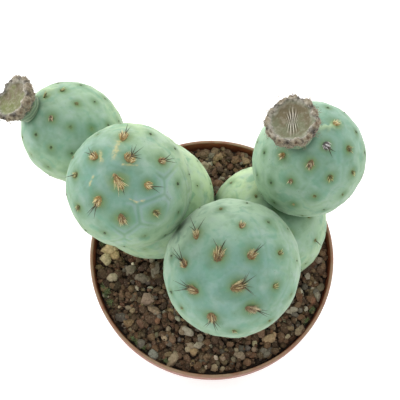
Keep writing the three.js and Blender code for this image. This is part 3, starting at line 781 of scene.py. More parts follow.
# Bristles as thin three-sided spikes: foot corners around each root, a tip along its heading.
def spikeMesh(name, roots, headings, lengths, widths, finish):
    side, front = acrossAxis(headings)
    ring = spokes(np.radians([0, 120, 240]), side[:, None], front[:, None])
    feet = roots[:, None] + ring * np.reshape(widths, (-1, 1, 1))
    tips = roots + headings * np.reshape(lengths, (-1, 1))
    points = np.concatenate([feet, tips[:, None]], axis=1)
    faces = np.array([[2, 1, 0], [0, 1, 3], [1, 2, 3], [2, 0, 3]])
    faces = (np.arange(len(roots))[:, None, None] * 4 + faces).reshape(-1, 3)
    return makePiece(name, points, [faces], finish, smooth=False)


# Spines as tapered curved tubes: root + L (t heading + t^2 bend), radius thick (1 - 0.93 t^1.3).
def spineMesh(name, roots, headings, bends, lengths, finish, thick):
    k = areoleSettings
    sides, steps = k["spineSides"], k["spineSteps"]
    t = np.linspace(0, 1, steps)[:, None]
    path = roots[:, None] + lengths[:, None, None] * (t * headings[:, None] + t ** 2 * bends[:, None])
    side, front = acrossAxis(headings)
    ring = spokes(circleSteps(sides), side[:, None], front[:, None])
    width = thick * (1 - 0.93 * t[:, 0] ** 1.3)
    points = path[:, :, None] + ring[:, None] * width[None, :, None, None]
    local = np.arange(steps - 1)[:, None] * sides
    column = np.arange(sides)
    onward = (column + 1) % sides
    quads = np.stack([local + column, local + onward, local + sides + onward, local + sides + column], -1)
    quads = quads.reshape(-1, 4)
    step = steps * sides
    shift = np.arange(len(roots))[:, None, None] * step
    lids = np.array([column[::-1], (steps - 1) * sides + column])
    faces = [(shift + quads).reshape(-1, 4), (shift + lids).reshape(-1, sides)]
    piece = makePiece(name, points, faces, finish)
    paintNumber(piece, "along", np.tile(np.repeat(t[:, 0], sides), len(roots)))
    return piece


# Where a segment's free areoles stand: out of the skin, away from the tip along it and sideways, and the
# root at the bottom of the pit; with their length, width, tone and number of spines.
def areolePlaces(name, s):
    directions, free = openAreoles(name)
    long, wide, tones, spines = (values[free] for values in areolePlan(s))
    out = directions[free]
    axis = unit(s["spiralAxis"])
    away = unit(out * (out @ axis)[:, None] - axis + 1e-6)
    base = skinPoint(s, out, -withTuft(skinSettings["pitDeep"], long) * skinSettings["rootDeep"])
    return {
        "out": out, "away": away, "sideways": np.cross(out, away), "base": base,
        "long": long, "wide": wide, "tones": tones, "spines": spines,
    }


# The values of each areole, once for each of its bristles or spines.
def repeated(places, counts):
    return {key: np.repeat(values, counts, axis=0) for key, values in places.items()}


# The colour of one part of each bristle, by the tone of its tuft.
def toneColours(tones, part):
    return np.array([tuftTones[tone][part] for tone in tones])


# Tufts: roots fill an ellipse along the line away from the tip, the root of a random number out from its
# middle; bristles stand up at the near end and lie over towards the far end.
def addTufts(name, s, places, finish, draw):
    k = areoleSettings
    counts = np.maximum(k["fewest"], places["long"] * places["wide"] * k["bristlesPerArea"]).astype(int)
    p = repeated(places, counts)
    total = len(p["long"])
    reach = np.sqrt(draw.uniform(0, 1, total))
    spin = draw.uniform(0, 2 * math.pi, total)
    down, across = reach * np.cos(spin), reach * np.sin(spin)
    roots = p["base"] + p["away"] * ((down * 0.36 - 0.1) * p["long"])[:, None]
    roots += p["sideways"] * (across * p["wide"] * k["halfWide"])[:, None]
    far = (down + 1) / 2
    headings = p["out"] * (0.66 - 0.36 * far)[:, None] + p["away"] * (0.3 + 0.7 * far)[:, None]
    spread = np.clip(1.7 * p["wide"] / p["long"], 0.4, 1)
    headings += (p["sideways"] * (k["bristleFan"] * across * spread)[:, None]
                 + draw.normal(0, k["bristleScatter"], (total, 3)) * spread[:, None])
    lengths = k["bristleBase"] * np.clip(p["long"] / 3, 0.4, 1) + k["bristleShare"] * p["long"]
    lengths *= (0.35 + 0.95 * draw.uniform(0, 1, total) ** 1.4) * s["bristleReach"]
    widths = k["bristleWidth"] * draw.uniform(0.7, 1.25, total)
    tufts = spikeMesh(name + "_tufts", roots, unit(headings), lengths, widths, finish)
    foot, tip, pale = (toneColours(p["tones"], part) for part in ("foot", "tip", "pale"))
    kind = draw.uniform(0, 1, (total, 1))
    tip = np.where(kind < k["paleTips"], pale, np.where(kind > 1 - k["darkTips"], foot * 0.45, tip))
    tip = tip * draw.uniform(0.8, 1.1, (total, 1))
    foot = foot * draw.uniform(0.35, 1.0, (total, 1))
    paintColour(tufts, "hairColour", np.stack([foot, foot, foot, tip], axis=1).reshape(-1, 3))
    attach(tufts, "root")


# Long loose strands on the larger tufts, pale ones and dark ones, combed away from the tip.
def addStrands(name, places, finish, draw):
    k = areoleSettings
    long = places["long"]
    p = repeated(places, np.where(long > k["strandLeast"], long * k["strandsPerLength"], 0).astype(int))
    total = len(p["long"])
    if not total:
        return
    across = draw.uniform(-1, 1, total)
    roots = p["base"] + p["away"] * (draw.uniform(-0.3, 0.2, total) * p["long"])[:, None]
    roots += p["sideways"] * (across * p["wide"] * k["halfWide"])[:, None] + p["out"] * 0.5
    headings = p["out"] * draw.uniform(0.15, 0.5, total)[:, None] + p["away"]
    headings += p["sideways"] * (0.45 * across + draw.normal(0, 0.12, total))[:, None]
    lengths = p["long"] * draw.uniform(0.3, 0.55, total)
    bends = -p["out"] * draw.uniform(0.0, 0.12, total)[:, None]
    strands = spineMesh(name + "_strands", roots, unit(headings), bends, lengths, finish, k["strandWidth"])
    pale = toneColours(p["tones"], "pale")
    tone = np.where(draw.uniform(0, 1, (total, 1)) < k["paleStrands"], pale, np.array(k["strandDark"]))
    paintColour(strands, "hairColour", np.repeat(tone, k["spineSides"] * k["spineSteps"], axis=0))
    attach(strands, "root")


# Spines, fanned out over the tuft by equal angles; those whose tips would enter another segment are left out.
def addSpines(name, s, places, finish, draw):
    k = areoleSettings
    spines = places["spines"]
    p = repeated(places, spines)
    total = len(p["long"])
    order = np.arange(total) - np.repeat(np.cumsum(spines) - spines, spines)
    fan = (order - (p["spines"] - 1) / 2) * k["spineFan"] + draw.normal(0, 0.2, total)
    headings = p["out"] * draw.uniform(0.2, 0.62, total)[:, None]
    headings = unit(headings + p["away"] * np.cos(fan)[:, None] + p["sideways"] * np.sin(fan)[:, None])
    bends = -p["out"] * draw.uniform(0.04, 0.2, total)[:, None]
    roots = p["base"] + p["away"] * (p["long"] * 0.22)[:, None] + p["out"] * 0.25
    lengths = (k["spineLength"] + draw.uniform(-1, 1, total) * k["spineSpread"]) * s["spineReach"]
    clear = clearOfOthers(name, roots + headings * lengths[:, None], k["spineGap"])
    if not clear.any():
        return
    roots, headings, bends, lengths = (values[clear] for values in (roots, headings, bends, lengths))
    piece = spineMesh(name + "_spines", roots, headings, bends, lengths, finish, k["spineWidth"])
    grey = draw.uniform(0, 1, total)[clear] ** 2
    paintNumber(piece, "greyness", np.repeat(grey, k["spineSides"] * k["spineSteps"]))
    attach(piece, "root")


# Bristles: the colour of foot and tip, dulled in clouds.
def bristleHair():
    hair = Finish("bristleHair", 0.55, Sheen_Weight=0.2)
    own = hair.attribute("hairColour", "Color")
    dull = hair.mix(1.0, own, areoleSettings["dull"], "MULTIPLY")
    hair.colour(hair.mix(hair.clouds(0.9, 2, 0.35, 0.7, 0.0, 0.45), own, dull))
    return hair.material


# Spines: dark horn, a little browner at the foot, some of them weathered grey.
def spineHorn():
    k = areoleSettings
    horn = Finish("spineHorn", 0.6, Specular_IOR_Level=0.3)
    outward = horn.sum(horn.attribute("along"), 0.7, horn.sum(horn.noise(1.2), 0.4))
    tone = horn.mix(outward, k["spineRoot"], k["spineTip"])
    horn.colour(horn.mix(horn.sum(horn.attribute("greyness"), 0.7), tone, k["spineGrey"]))
    horn.bump(horn.noise(0.5), 0.05)
    return horn.material


waxySkinFinish = waxySkin()
bristleFinish = bristleHair()
spineFinish = spineHorn()
for segmentName, segment in segmentSettings.items():
    addSkin(segmentName, segment, waxySkinFinish)
    segmentDraw = np.random.default_rng(200 + segment["seed"])
    segmentPlaces = areolePlaces(segmentName, segment)
    addTufts(segmentName, segment, segmentPlaces, bristleFinish, segmentDraw)
    addStrands(segmentName, segmentPlaces, bristleFinish, segmentDraw)
    addSpines(segmentName, segment, segmentPlaces, spineFinish, segmentDraw)
print("six stem segments with areoles are made")


fruitShape = {
    "grid": (120, 220),
    # shares of the rim's radius and of the height, from the foot to the middle of the face: the neck
    # ends at points 4 to 6, point 9 is the widest, and the face's edge lies at points 12 to 14
    "radii": (0.0, 0.46, 0.56, 0.62, 0.66, 0.71, 0.80, 0.92, 0.98,
              1.0, 0.96, 0.87, 0.79, 0.74, 0.70, 0.4, 0.0),
    "heights": (-0.14, -0.13, 0.0, 0.16, 0.32, 0.46, 0.56, 0.64, 0.76,
                0.88, 0.96, 0.98, 0.95, 0.89, 0.85, 0.84, 0.85),
    "knobRise": 1.5, "knobWidth": 2.05,                     # mm
    "knobPit": 0.85, "spotWidth": 0.48,                     # shares of the knob's rise and width
    "woolRise": 0.231, "neckRing": 0.2, "neckStep": 1.9,    # mm
    "wrinkleRise": 0.18, "wrinkleStep": 1.25, "faceRise": 0.12,   # mm
    "lipWave": 0.8, "lipWidth": 1.2, "notchWidth": 0.32,    # mm, mm, radians
    "hairScatter": 0.62, "hairLengths": (0.35, 0.95), "hairWidths": (0.05, 0.09),   # mm
    "longHair": 0.9, "longShare": 0.05,                     # mm more on a share of the hairs
    "hairs": {
        "tan": (paint(128, 100, 66), 0.25), "sand": (paint(166, 136, 90), 0.1),
        "pale": (paint(180, 170, 138), 0.4), "brown": (paint(82, 68, 46), 0.25),
    },
    # crevice: painted shade between the knobs; pink: wool colour, on the knobs also a painted highlight
    "wool": paint(110, 98, 77), "creviceShade": paint(46, 38, 26), "pink": paint(152, 141, 118),
    "spot": paint(92, 62, 38), "neckGreen": paint(96, 122, 94), "neckPale": paint(128, 150, 118),
    "wrinkleDark": paint(62, 56, 40), "wrinklePale": paint(222, 216, 200), "faceBrown": paint(112, 102, 75),
}


# A colour for each of count things, drawn by the shares of its kinds.
def drawColours(kinds, count, draw):
    palette = np.array([colour for colour, share in kinds.values()])
    return palette[draw.choice(len(kinds), size=count, p=[share for colour, share in kinds.values()])]


# The cup: a profile of radius and height turned about the fruit's axis, its rim drawn in at one notch and
# in three soft lobes. Staggered rows of knobs swell it, each exp(-(distance / width)^2) with a small pit
# of the same form in its middle; fine waves make the wool, rings the neck, and narrow slits converge on the
# middle of the sunken face. It hands back the knobs' middles.
def addFruit(name, s, finish, draw):
    k = fruitShape
    rings, around = k["grid"]
    axis = unit(s["axis"])
    side, front = acrossAxis(axis)
    radii, heights = np.array(k["radii"]) * s["rim"], np.array(k["heights"]) * s["height"]
    length = np.concatenate([[0], np.cumsum(np.hypot(np.diff(radii), np.diff(heights)))])
    share = (np.arange(rings) + 0.5) / rings
    blur = np.array([1, 3, 5, 3, 1]) / 13
    profileR = np.convolve(np.pad(np.interp(share * length[-1], length, radii), 2, "edge"), blur, "valid")
    profileH = np.convolve(np.pad(np.interp(share * length[-1], length, heights), 2, "edge"), blur, "valid")
    bearing = circleSteps(around)
    spoke = spokes(bearing, side, front)
    notchAt, notchDeep = s["notch"]
    bent = np.abs((bearing - math.radians(notchAt) + math.pi) % (2 * math.pi) - math.pi)
    notch = notchDeep * np.exp(-(bent / k["notchWidth"]) ** 2)
    lobes = 1 - notch + s["lobes"] * np.sin(3 * bearing + s["seed"])
    lobes = 1 + (lobes - 1) * smoothStep(length[5], length[9], share * length[-1])[:, None]
    plain = profileH[:, None, None] * axis + (profileR[:, None] * lobes)[..., None] * spoke[None]
    slopeR, slopeH = np.gradient(profileR)[:, None, None], np.gradient(profileH)[:, None, None]
    outward = unit(slopeH * spoke[None] - slopeR * axis + 1e-9)
    face = smoothStep(length[12], length[14], share * length[-1])[:, None]
    outside = (1 - face) * smoothStep(length[4], length[6], share * length[-1])[:, None]
    # knobs, on the profile below its top point
    knobs = np.zeros((rings, around))
    spots = np.zeros((rings, around))
    crowns = []
    for row, level in enumerate(s["knobRows"]):
        for index in range(s["knobs"]):
            angle = (index + 0.5 * (row % 2)) * 2 * math.pi / s["knobs"] + draw.normal(0, 0.07)
            h = (level + draw.normal(0, 0.02)) * s["height"]
            r = np.interp(h, heights[:11], radii[:11])
            centre = h * axis + r * (math.cos(angle) * side + math.sin(angle) * front)
            distance = np.linalg.norm(plain - centre, axis=-1)
            width = k["knobWidth"] * draw.uniform(0.8, 1.15)
            swell = np.exp(-(distance / width) ** 2) * draw.uniform(0.7, 1.2)
            knobs = np.maximum(knobs, swell)
            spot = np.exp(-(distance / (width * k["spotWidth"])) ** 2)
            spots = np.maximum(spots, spot * draw.uniform(0.5, 1))
            crowns.append(centre)
    wool = ripple(plain, 1.3, s["seed"], 40) + 0.5 * ripple(plain, 0.8, s["seed"] + 5, 40)
    ring = np.sin(profileH[:, None] * 2 * math.pi / k["neckStep"] + 1.3 * ripple(plain, 6, s["seed"] + 6))
    ring = ring * (1 - smoothStep(0.45, 0.58, profileH / s["height"]))[:, None]
    x, y = plain @ side, plain @ front
    pinch = 0.45 + 0.55 * np.clip(np.abs(y) / (0.5 * s["rim"]), 0, 1)
    slit = np.sin(x / pinch * 2 * math.pi / k["wrinkleStep"] + 0.8 * ripple(plain, 5, s["seed"] + 1))
    slit *= s["slits"] * np.exp(-(x / (0.21 * s["rim"])) ** 2 - (y / (0.5 * s["rim"])) ** 2) * face
    shift = k["knobRise"] * (knobs - 0.35 - k["knobPit"] * spots) * outside + k["woolRise"] * wool * outside
    shift += k["neckRing"] * ring * (1 - outside) * (1 - face) + k["wrinkleRise"] * slit
    shift += k["faceRise"] * ripple(plain, 4, s["seed"] + 2) * face
    lip = np.exp(-((share * length[-1] - length[12]) / k["lipWidth"]) ** 2)[:, None]
    inward = -spoke[None] * (k["lipWave"] * lip * ripple(plain, 5, s["seed"] + 3))[..., None]
    grid = plain + outward * shift[..., None] + inward
    foot, middle = axis * heights[0], axis * (heights[-1] + 0.1)
    points = np.concatenate([[foot], grid.reshape(-1, 3), [middle]]) + np.array(s["seat"])
    points = seatedOn(points, [s["parent"]], skinSettings["seatGap"] + 0.1)
    faces = poleGridFaces(rings, around)
    piece = makePiece(name + "_cup", points, [faces[0][:, ::-1], faces[1][:, ::-1]], finish)

    # a vertex value for the two poles and the grid between them
    def paintGrid(mark, values, first, last):
        values = np.broadcast_to(values, (rings, around))
        paintNumber(piece, mark, np.concatenate([[first], values.reshape(-1), [last]]))

    paintGrid("face", face, 0, 1)
    paintGrid("backward", y / s["rim"], 0, 0)
    paintGrid("knob", knobs * outside, 0, 0)
    paintGrid("spot", spots * outside, 0, 0)
    paintGrid("outside", outside, 0, 0)
    paintGrid("slit", slit, 0, 0)
    paintGrid("lip", lip, 0, 0)
    paintGrid("neckRing", ring, 0, 0)
    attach(piece, "root")
    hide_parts(name)
    return np.array(crowns)


# Bristles scattered over the knobs: they stand out from the fruit's axis, on the upper row also up along it.
def addFruitHairs(name, s, centres, finish, draw):
    k = fruitShape
    axis = unit(s["axis"])
    which = np.repeat(np.arange(len(centres)), s["bristlesPerKnob"])
    total = len(which)
    scatter = draw.normal(0, k["hairScatter"], (total, 3))
    flat = centres - (centres @ axis)[:, None] * axis
    outer = unit(flat * 0.9 + axis * (0.35 * s["rim"] * (centres @ axis / s["height"] > 0.85))[:, None])
    roots = centres[which] + scatter + outer[which] * 0.35 + np.array(s["seat"])
    headings = unit(outer[which] + draw.normal(0, 0.5, (total, 3)))
    lengths = draw.uniform(*k["hairLengths"], total)
    lengths += k["longHair"] * (draw.uniform(0, 1, total) > 1 - k["longShare"])
    widths = draw.uniform(*k["hairWidths"], total)
    hairs = spikeMesh(name + "_bristles", roots, headings, lengths, widths, finish)
    tone = drawColours(k["hairs"], total, draw) * draw.uniform(0.7, 1.2, (total, 1))
    paintColour(hairs, "hairColour", np.repeat(tone, 4, axis=0))
    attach(hairs, "root")


# Woolly rim with a pale ring and a brown pit on each knob, the pale ring partly a painted highlight, and
# painted shade in the crevices between them and in the middle of each pit; ringed green neck; dry wrinkled
# face, browner in patches and towards the back.
def woollyFruit(name, faceColour):
    k = fruitShape
    skin = Finish(name, 0.85, Sheen_Weight=0.25, Sheen_Roughness=0.5)
    rise = skin.sum(skin.noise(0.7, 3), 0.5, skin.attribute("knob"))
    wool = skin.cover(skin.mix(skin.clouds(1.0, 5, 0.42, 0.62), k["wool"], k["pink"]), k, [
        # painted shade in the crevices between knobs; pale knobs partly a painted highlight; painted shade in
        # each pit's middle
        (skin.band(rise, 0.74, 0.36), "creviceShade"),
        (skin.band(skin.attribute("knob"), 0.3, 0.8, 0.0, 0.45), "pink"),
        (skin.band(skin.attribute("spot"), 0.2, 0.7, 0.0, 0.75), "spot"),
        (skin.band(skin.attribute("spot"), 0.7, 1.0, 0.0, 0.7), "creviceShade"),
    ])
    neck = skin.mix(skin.band(skin.attribute("neckRing"), -0.6, 0.8), k["neckGreen"], k["neckPale"])
    wool = skin.mix(skin.attribute("outside"), neck, wool)
    brown = skin.sum(skin.attribute("backward"), 0.25, skin.noise(3.6, 4))
    dry = skin.cover(faceColour, k, [
        (skin.band(brown, 0.38, 0.62), "faceBrown"),
        (skin.clouds(1.4, 5, 0.5, 0.8, 0.0, 0.3), "wrinklePale"),
        (skin.band(skin.attribute("slit"), -0.1, -0.5, 0.0, 0.9), "wrinkleDark"),
        (skin.band(skin.attribute("slit"), 0.12, 0.55, 0.0, 0.75), "wrinklePale"),
    ])
    body = skin.mix(skin.attribute("face"), wool, dry)
    lip = skin.sum(skin.attribute("lip"), skin.clouds(1.5, 3, 0.35, 0.6, 0.1, 0.6))
    skin.colour(skin.mix(lip, body, k["wrinklePale"]))
    skin.bump(skin.sum(skin.noise(0.4, 3), 1.0, skin.sum(skin.specks(0.8), 0.6)), 0.25)
    return skin.material


for fruitName, fruit in fruitSettings.items():
    fruitDraw = np.random.default_rng(fruit["seed"])
    knobCentres = addFruit(fruitName, fruit, woollyFruit(fruitName + "Skin", fruit["face"]), fruitDraw)
    addFruitHairs(fruitName, fruit, knobCentres, bristleFinish, fruitDraw)
print("two fruits are made")


potSettings = {
    "height": 86, "rimRadius": 55, "baseRadius": 39, "wall": 1.5, "floor": 2.0,       # mm
    "bandHeight": 13, "bandStep": 1.1, "bandSlope": 0.5, "bandShadow": 0.7,           # mm
    "rimWall": 1.4, "lipRound": 0.5, "edgeRound": 1.0, "holeRadius": 4, "holeCircle": 25,   # mm
    "around": 160, "step": 3.0, "holes": 6, "outOfRound": 0.0016,
    "footDustHeight": 20, "limeBand": (0.9, 0.2),             # mm above the foot, mm below the lip
    "clayDark": paint(126, 63, 38), "clayLight": paint(144, 78, 50), "dust": paint(158, 112, 80),
    "footDust": paint(164, 122, 92), "lime": paint(150, 130, 104), "stain": paint(100, 60, 38),
}


# Radius of the pot's outer wall under the band, a straight taper from the base.
def potWallRadius(z):
    s = potSettings
    bandFoot = s["height"] - s["bandHeight"]
    return s["baseRadius"] + (s["rimRadius"] - s["bandStep"] - s["baseRadius"]) * z / bandFoot


# Radius of the inner wall: parallel to the outer one, then out to the lip.
def potInnerRadius(z):
    s = potSettings
    bandFoot = s["height"] - s["bandHeight"]
    foot = potWallRadius(bandFoot) - s["wall"]
    lip = s["rimRadius"] - s["rimWall"]
    flare = foot + (lip - foot) * (z - bandFoot) / s["bandHeight"]
    return np.where(z > bandFoot, flare, potWallRadius(z) - s["wall"])


# A closed profile of radius and height turned about Z, long straight stretches in steps of equal length.
def turnedShape(profile, around, step):
    profile = np.array(profile, float)
    runs = []
    for start, end in zip(profile[:-1], profile[1:]):
        parts = max(1, int(math.hypot(*(end - start)) / step))
        runs.append(start + (end - start) * (np.arange(parts) / parts)[:, None])
    outline = np.concatenate(runs)[1:]
    bearing = circleSteps(around)
    r, z = outline[:, 0], outline[:, 1]
    grid = np.stack([r[:, None] * np.cos(bearing), r[:, None] * np.sin(bearing),
                     np.repeat(z[:, None], around, 1)], -1)
    points = np.concatenate([[(0, 0, profile[0][1])], grid.reshape(-1, 3), [(0, 0, profile[-1][1])]])
    faces = poleGridFaces(len(outline), around)
    return points, [faces[0][:, ::-1], faces[1][:, ::-1]]


# The pot: base, tapered wall, step out to the rim band, round lip and inner wall, turned about Z, with a
# faint out-of-round wave; round drain holes are cut through the floor.
def addPot(s, finish):
    bandFoot = s["height"] - s["bandHeight"]
    lip, edge = s["lipRound"], s["edgeRound"]
    corner = np.radians(np.linspace(0, 90, 5))
    top = s["height"]
    innerTop = float(potInnerRadius(top))
    outerLip = [(s["rimRadius"] - lip + lip * math.cos(a), top - lip + lip * math.sin(a)) for a in corner]
    innerLip = [(innerTop + lip - lip * math.sin(a), top - lip + lip * math.cos(a)) for a in corner]
    base = [(potWallRadius(edge) - edge + edge * math.sin(a), edge - edge * math.cos(a)) for a in corner]
    waist = potWallRadius(bandFoot) - s["bandShadow"]
    bandEdge = s["rimRadius"] - s["bandSlope"]
    profile = [
        (0, 0), *base, (potWallRadius(bandFoot - 20), bandFoot - 20),
        (waist - 0.1, bandFoot - 0.9), (waist, bandFoot - 0.2), (waist + 0.3, bandFoot),
        (bandEdge - 0.3, bandFoot), (bandEdge, bandFoot + 0.3), (s["rimRadius"] - 0.15, bandFoot + 3),
        *outerLip, *innerLip,
        (float(potInnerRadius(bandFoot)), bandFoot), (float(potInnerRadius(s["floor"])), s["floor"]),
        (0, s["floor"]),
    ]
    points, faces = turnedShape(profile, s["around"], s["step"])
    bearing = np.arctan2(points[:, 1], points[:, 0])
    points[:, :2] *= (1 - s["outOfRound"] * (1 + np.sin(2 * bearing + 0.6)) * points[:, 2] / top)[:, None]
    pot = makePiece("pot_shell", points, faces, finish)
    drills = []
    for index in range(s["holes"]):
        bearing = (index + 0.5) * 2 * math.pi / s["holes"]
        centre = np.array([s["holeCircle"] * math.cos(bearing), s["holeCircle"] * math.sin(bearing), 0])
        r = s["holeRadius"]
        drillPoints, drillFaces = turnedShape([(0, -3), (r, -3), (r, 6), (0, 6)], 32, 20)
        drills.append(makePiece("drill%d" % index, drillPoints + centre, drillFaces, finish))
    for drill in drills:
        cut = pot.modifiers.new("drainHole", "BOOLEAN")
        cut.operation = "DIFFERENCE"
        cut.solver = "EXACT"
        cut.object = drill
    bpy.context.view_layer.update()
    cutMesh = bpy.data.meshes.new_from_object(pot.evaluated_get(bpy.context.evaluated_depsgraph_get()))
    pot.modifiers.clear()
    pot.data = cutMesh
    for drill in drills:
        bpy.data.objects.remove(drill)
    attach(pot, "root")
    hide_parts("pot")


# Moulded plastic the colour of baked clay, dusty in patches and with a chalky lime line near the lip.
def mouldedPlastic():
    s = potSettings
    plastic = Finish("mouldedPlastic", 0.5, Specular_IOR_Level=0.45)
    low = plastic.band(plastic.heightOf(), s["footDustHeight"] * millimetre, 0.0, 0.0, 0.5)
    limeFrom, limeTo = ((s["height"] - below) * millimetre for below in s["limeBand"])
    high = plastic.band(plastic.heightOf(), limeFrom, limeTo)
    clay = plastic.mix(plastic.clouds(14, 4, 0.35, 0.65), s["clayDark"], s["clayLight"])
    plastic.colour(plastic.cover(clay, s, [
        (plastic.clouds(3.5, 5, 0.5, 0.75, 0.0, 0.22), "dust"),
        (plastic.sum(low, plastic.clouds(7, 5, 0.45, 0.7)), "footDust"),
        (plastic.sum(high, plastic.clouds(5, 4, 0.3, 0.62, 0.25, 0.8)), "lime"),
        (plastic.clouds(2.0, 5, 0.55, 0.75, 0.0, 0.3), "stain"),
    ]))
    plastic.roughness(plastic.clouds(5, 3, 0.3, 0.7, 0.42, 0.64))
    plastic.bump(plastic.sum(plastic.noise(0.8, 2), 0.5, plastic.noise(6)), 0.08)
    return plastic.material


addPot(potSettings, mouldedPlastic())
print("the pot is made")


soilSettings = {
    "top": 79.5, "floor": 2.35, "gap": 0.35, "waveHeight": 0.7, "step": 2.4,   # mm
    "around": 120, "dark": paint(38, 30, 22), "light": paint(66, 52, 38),
}

stoneSettings = {
    "lower": {"count": 1250, "height": 80.7, "rings": 4, "around": 7, "start": 0.0},
    "upper": {"count": 1150, "height": 82.3, "rings": 5, "around": 9, "start": 1.3},
    "fine": {"count": 1300, "height": 82.5, "rings": 3, "around": 6, "start": 2.2},
    "zSpread": 0.7, "size": 1.38, "sizeSpread": 0.27, "cuts": 9,   # mm, mm, share
    "fineSize": 0.5,                                               # share of the others
    "reach": 51.6, "wallLevel": 82.0, "wallGap": 0.3,              # mm, clear of the wall at that height
    "colours": {
        "umber": (paint(104, 80, 59), 0.32), "bark": (paint(80, 62, 46), 0.24),
        "rust": (paint(106, 76, 55), 0.12), "clay": (paint(124, 104, 77), 0.12),
        "slate": (paint(112, 104, 92), 0.09), "sand": (paint(154, 138, 112), 0.07),
        "chalk": (paint(182, 172, 150), 0.04),
    },
    "shadow": (0.5, 0.47, 0.44), "chip": paint(176, 162, 138),     # share of a stone's colour in dark clouds
    "markedHeight": 82.6, "markedRough": 0.2, "markedFrom": 81.5,  # mm, lower layers run on beneath them
    "markedGrid": (14, 26), "markedCuts": 8,
    "seed": 7, "markedSeed": 21,
}

# Larger stones that catch the eye: x, y, half size in mm, stretch, turn in degrees, colour.
markedStones = [
    (-46.6, 3.4, 3.6, 1.25, 20, paint(206, 186, 138)), (-43.9, 0.6, 2.7, 1.2, -30, paint(196, 172, 124)),
    (-48.0, -1.6, 2.5, 1.1, 70, paint(198, 184, 142)), (-29.0, -19.9, 3.0, 1.05, 40, paint(158, 136, 116)),
    (-25.6, -7.1, 2.6, 1.6, 80, paint(140, 130, 112)), (-44.4, -9.8, 2.1, 1.1, 10, paint(186, 172, 142)),
    (-10.6, -34.6, 2.1, 1.3, -40, paint(178, 168, 148)), (-25.7, -24.8, 1.9, 1.7, -35, paint(150, 128, 104)),
    (-37.2, -30.7, 2.2, 1.2, 15, paint(138, 112, 80)), (-26.3, -44.7, 2.2, 1.1, 0, paint(136, 136, 124)),
    (-17.1, -46.9, 2.3, 1.5, 60, paint(156, 138, 112)), (-36.9, -6.6, 2.2, 1.2, 30, paint(134, 124, 104)),
    (-31.4, -10.3, 2.4, 1.4, -20, paint(128, 118, 100)), (35.7, -24.8, 2.3, 1.2, 10, paint(160, 152, 132)),
    (39.0, -33.8, 2.0, 1.3, 50, paint(150, 132, 106)), (12.3, -44.7, 2.0, 1.2, -15, paint(152, 134, 112)),
    (4.0, 48.0, 2.3, 1.3, 30, paint(140, 118, 86)), (-2.9, 43.7, 2.4, 1.2, -50, paint(158, 146, 120)),
    (11.6, 46.2, 2.0, 1.1, 0, paint(118, 92, 66)), (-6.0, -40.5, 1.8, 1.3, 20, paint(170, 158, 136)),
    (-3.4, 49.8, 2.2, 1.2, 10, paint(112, 92, 70)), (2.2, 50.6, 2.1, 1.1, 60, paint(126, 106, 82)),
    (8.4, 49.6, 2.1, 1.3, -20, paint(100, 80, 62)),
]

mossSettings = {
    "clumps": [(-48.6, -14.2), (-47.4, -17.8), (-46.6, -16.2), (-45.4, -21.6), (-35.2, -37.6),
               (-33.0, -39.8), (-30.8, -41.6), (-49.6, 6.0), (-20.4, -47.4), (44.6, -24.6), (41.8, -29.6)],
    "blades": 70, "height": 82.7, "reach": 51.6,                 # per clump, mm, mm
    "spread": 1.2, "length": 1.3, "width": 0.18,                 # mm
    "dark": paint(92, 112, 60), "light": paint(170, 182, 112), "seed": 9,
}


# The soil under the stones: a closed turned shape that fills the pot to the wall, its top in soft waves.
def addSoil(s, finish):
    top, floor, gap = s["top"], s["floor"], s["gap"]
    bandFoot = potSettings["height"] - potSettings["bandHeight"]
    wallTop = float(potInnerRadius(top)) - gap
    profile = [(0, floor), (float(potInnerRadius(floor)) - gap, floor),
               (float(potInnerRadius(bandFoot)) - gap, bandFoot), (wallTop, top), (0, top)]
    points, faces = turnedShape(profile, s["around"], s["step"])
    radius = np.hypot(points[:, 0], points[:, 1])
    onTop = (points[:, 2] > top - 0.01) & (radius < wallTop - 0.5)
    points[:, 2] += np.where(onTop, s["waveHeight"] * ripple(points, 7, 3), 0)
    soil = makePiece("soil_body", points, faces, finish)
    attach(soil, "root")
    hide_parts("soil")


# Directions of a small closed grid, the poles first and last.
def roundDirections(rings, around):
    polar = (np.arange(rings) + 0.5) * math.pi / rings
    bearing = circleSteps(around)
    grid = np.stack([np.sin(polar)[:, None] * np.cos(bearing), np.sin(polar)[:, None] * np.sin(bearing),
                     np.repeat(np.cos(polar)[:, None], around, 1)], -1).reshape(-1, 3)
    return np.concatenate([[(0, 0, 1.0)], grid, [(0, 0, -1.0)]])


# Broken stones: each is a ball cut by random planes, so its reach in a direction is the least of
# plane distance / (direction . plane normal). Then it is stretched, tilted and turned in place.
def stoneShapes(directions, centres, size, stretch, turn, cuts, draw):
    count = len(centres)
    planes = unit(draw.normal(size=(count, cuts, 3)))
    depth = draw.uniform(0.62, 1.0, (count, cuts))
    facing = np.maximum(np.einsum("vk,nck->nvc", directions, planes), 1e-3)
    reach = np.minimum((depth[:, None] / facing).min(-1), 1.15)
    shape = directions[None] * reach[..., None]
    shape = shape * np.stack([stretch, 1 / np.sqrt(stretch), draw.uniform(0.6, 0.95, count)], -1)[:, None]
    lean = draw.normal(0, 0.3, count)
    x, y, z = shape[..., 0], shape[..., 1], shape[..., 2]
    cosine, sine = np.cos(lean)[:, None], np.sin(lean)[:, None]
    y, z = y * cosine - z * sine, y * sine + z * cosine
    cosine, sine = np.cos(turn)[:, None], np.sin(turn)[:, None]
    x, y = x * cosine - y * sine, x * sine + y * cosine
    return centres[:, None] + np.stack([x, y, z], -1) * size[:, None, None]


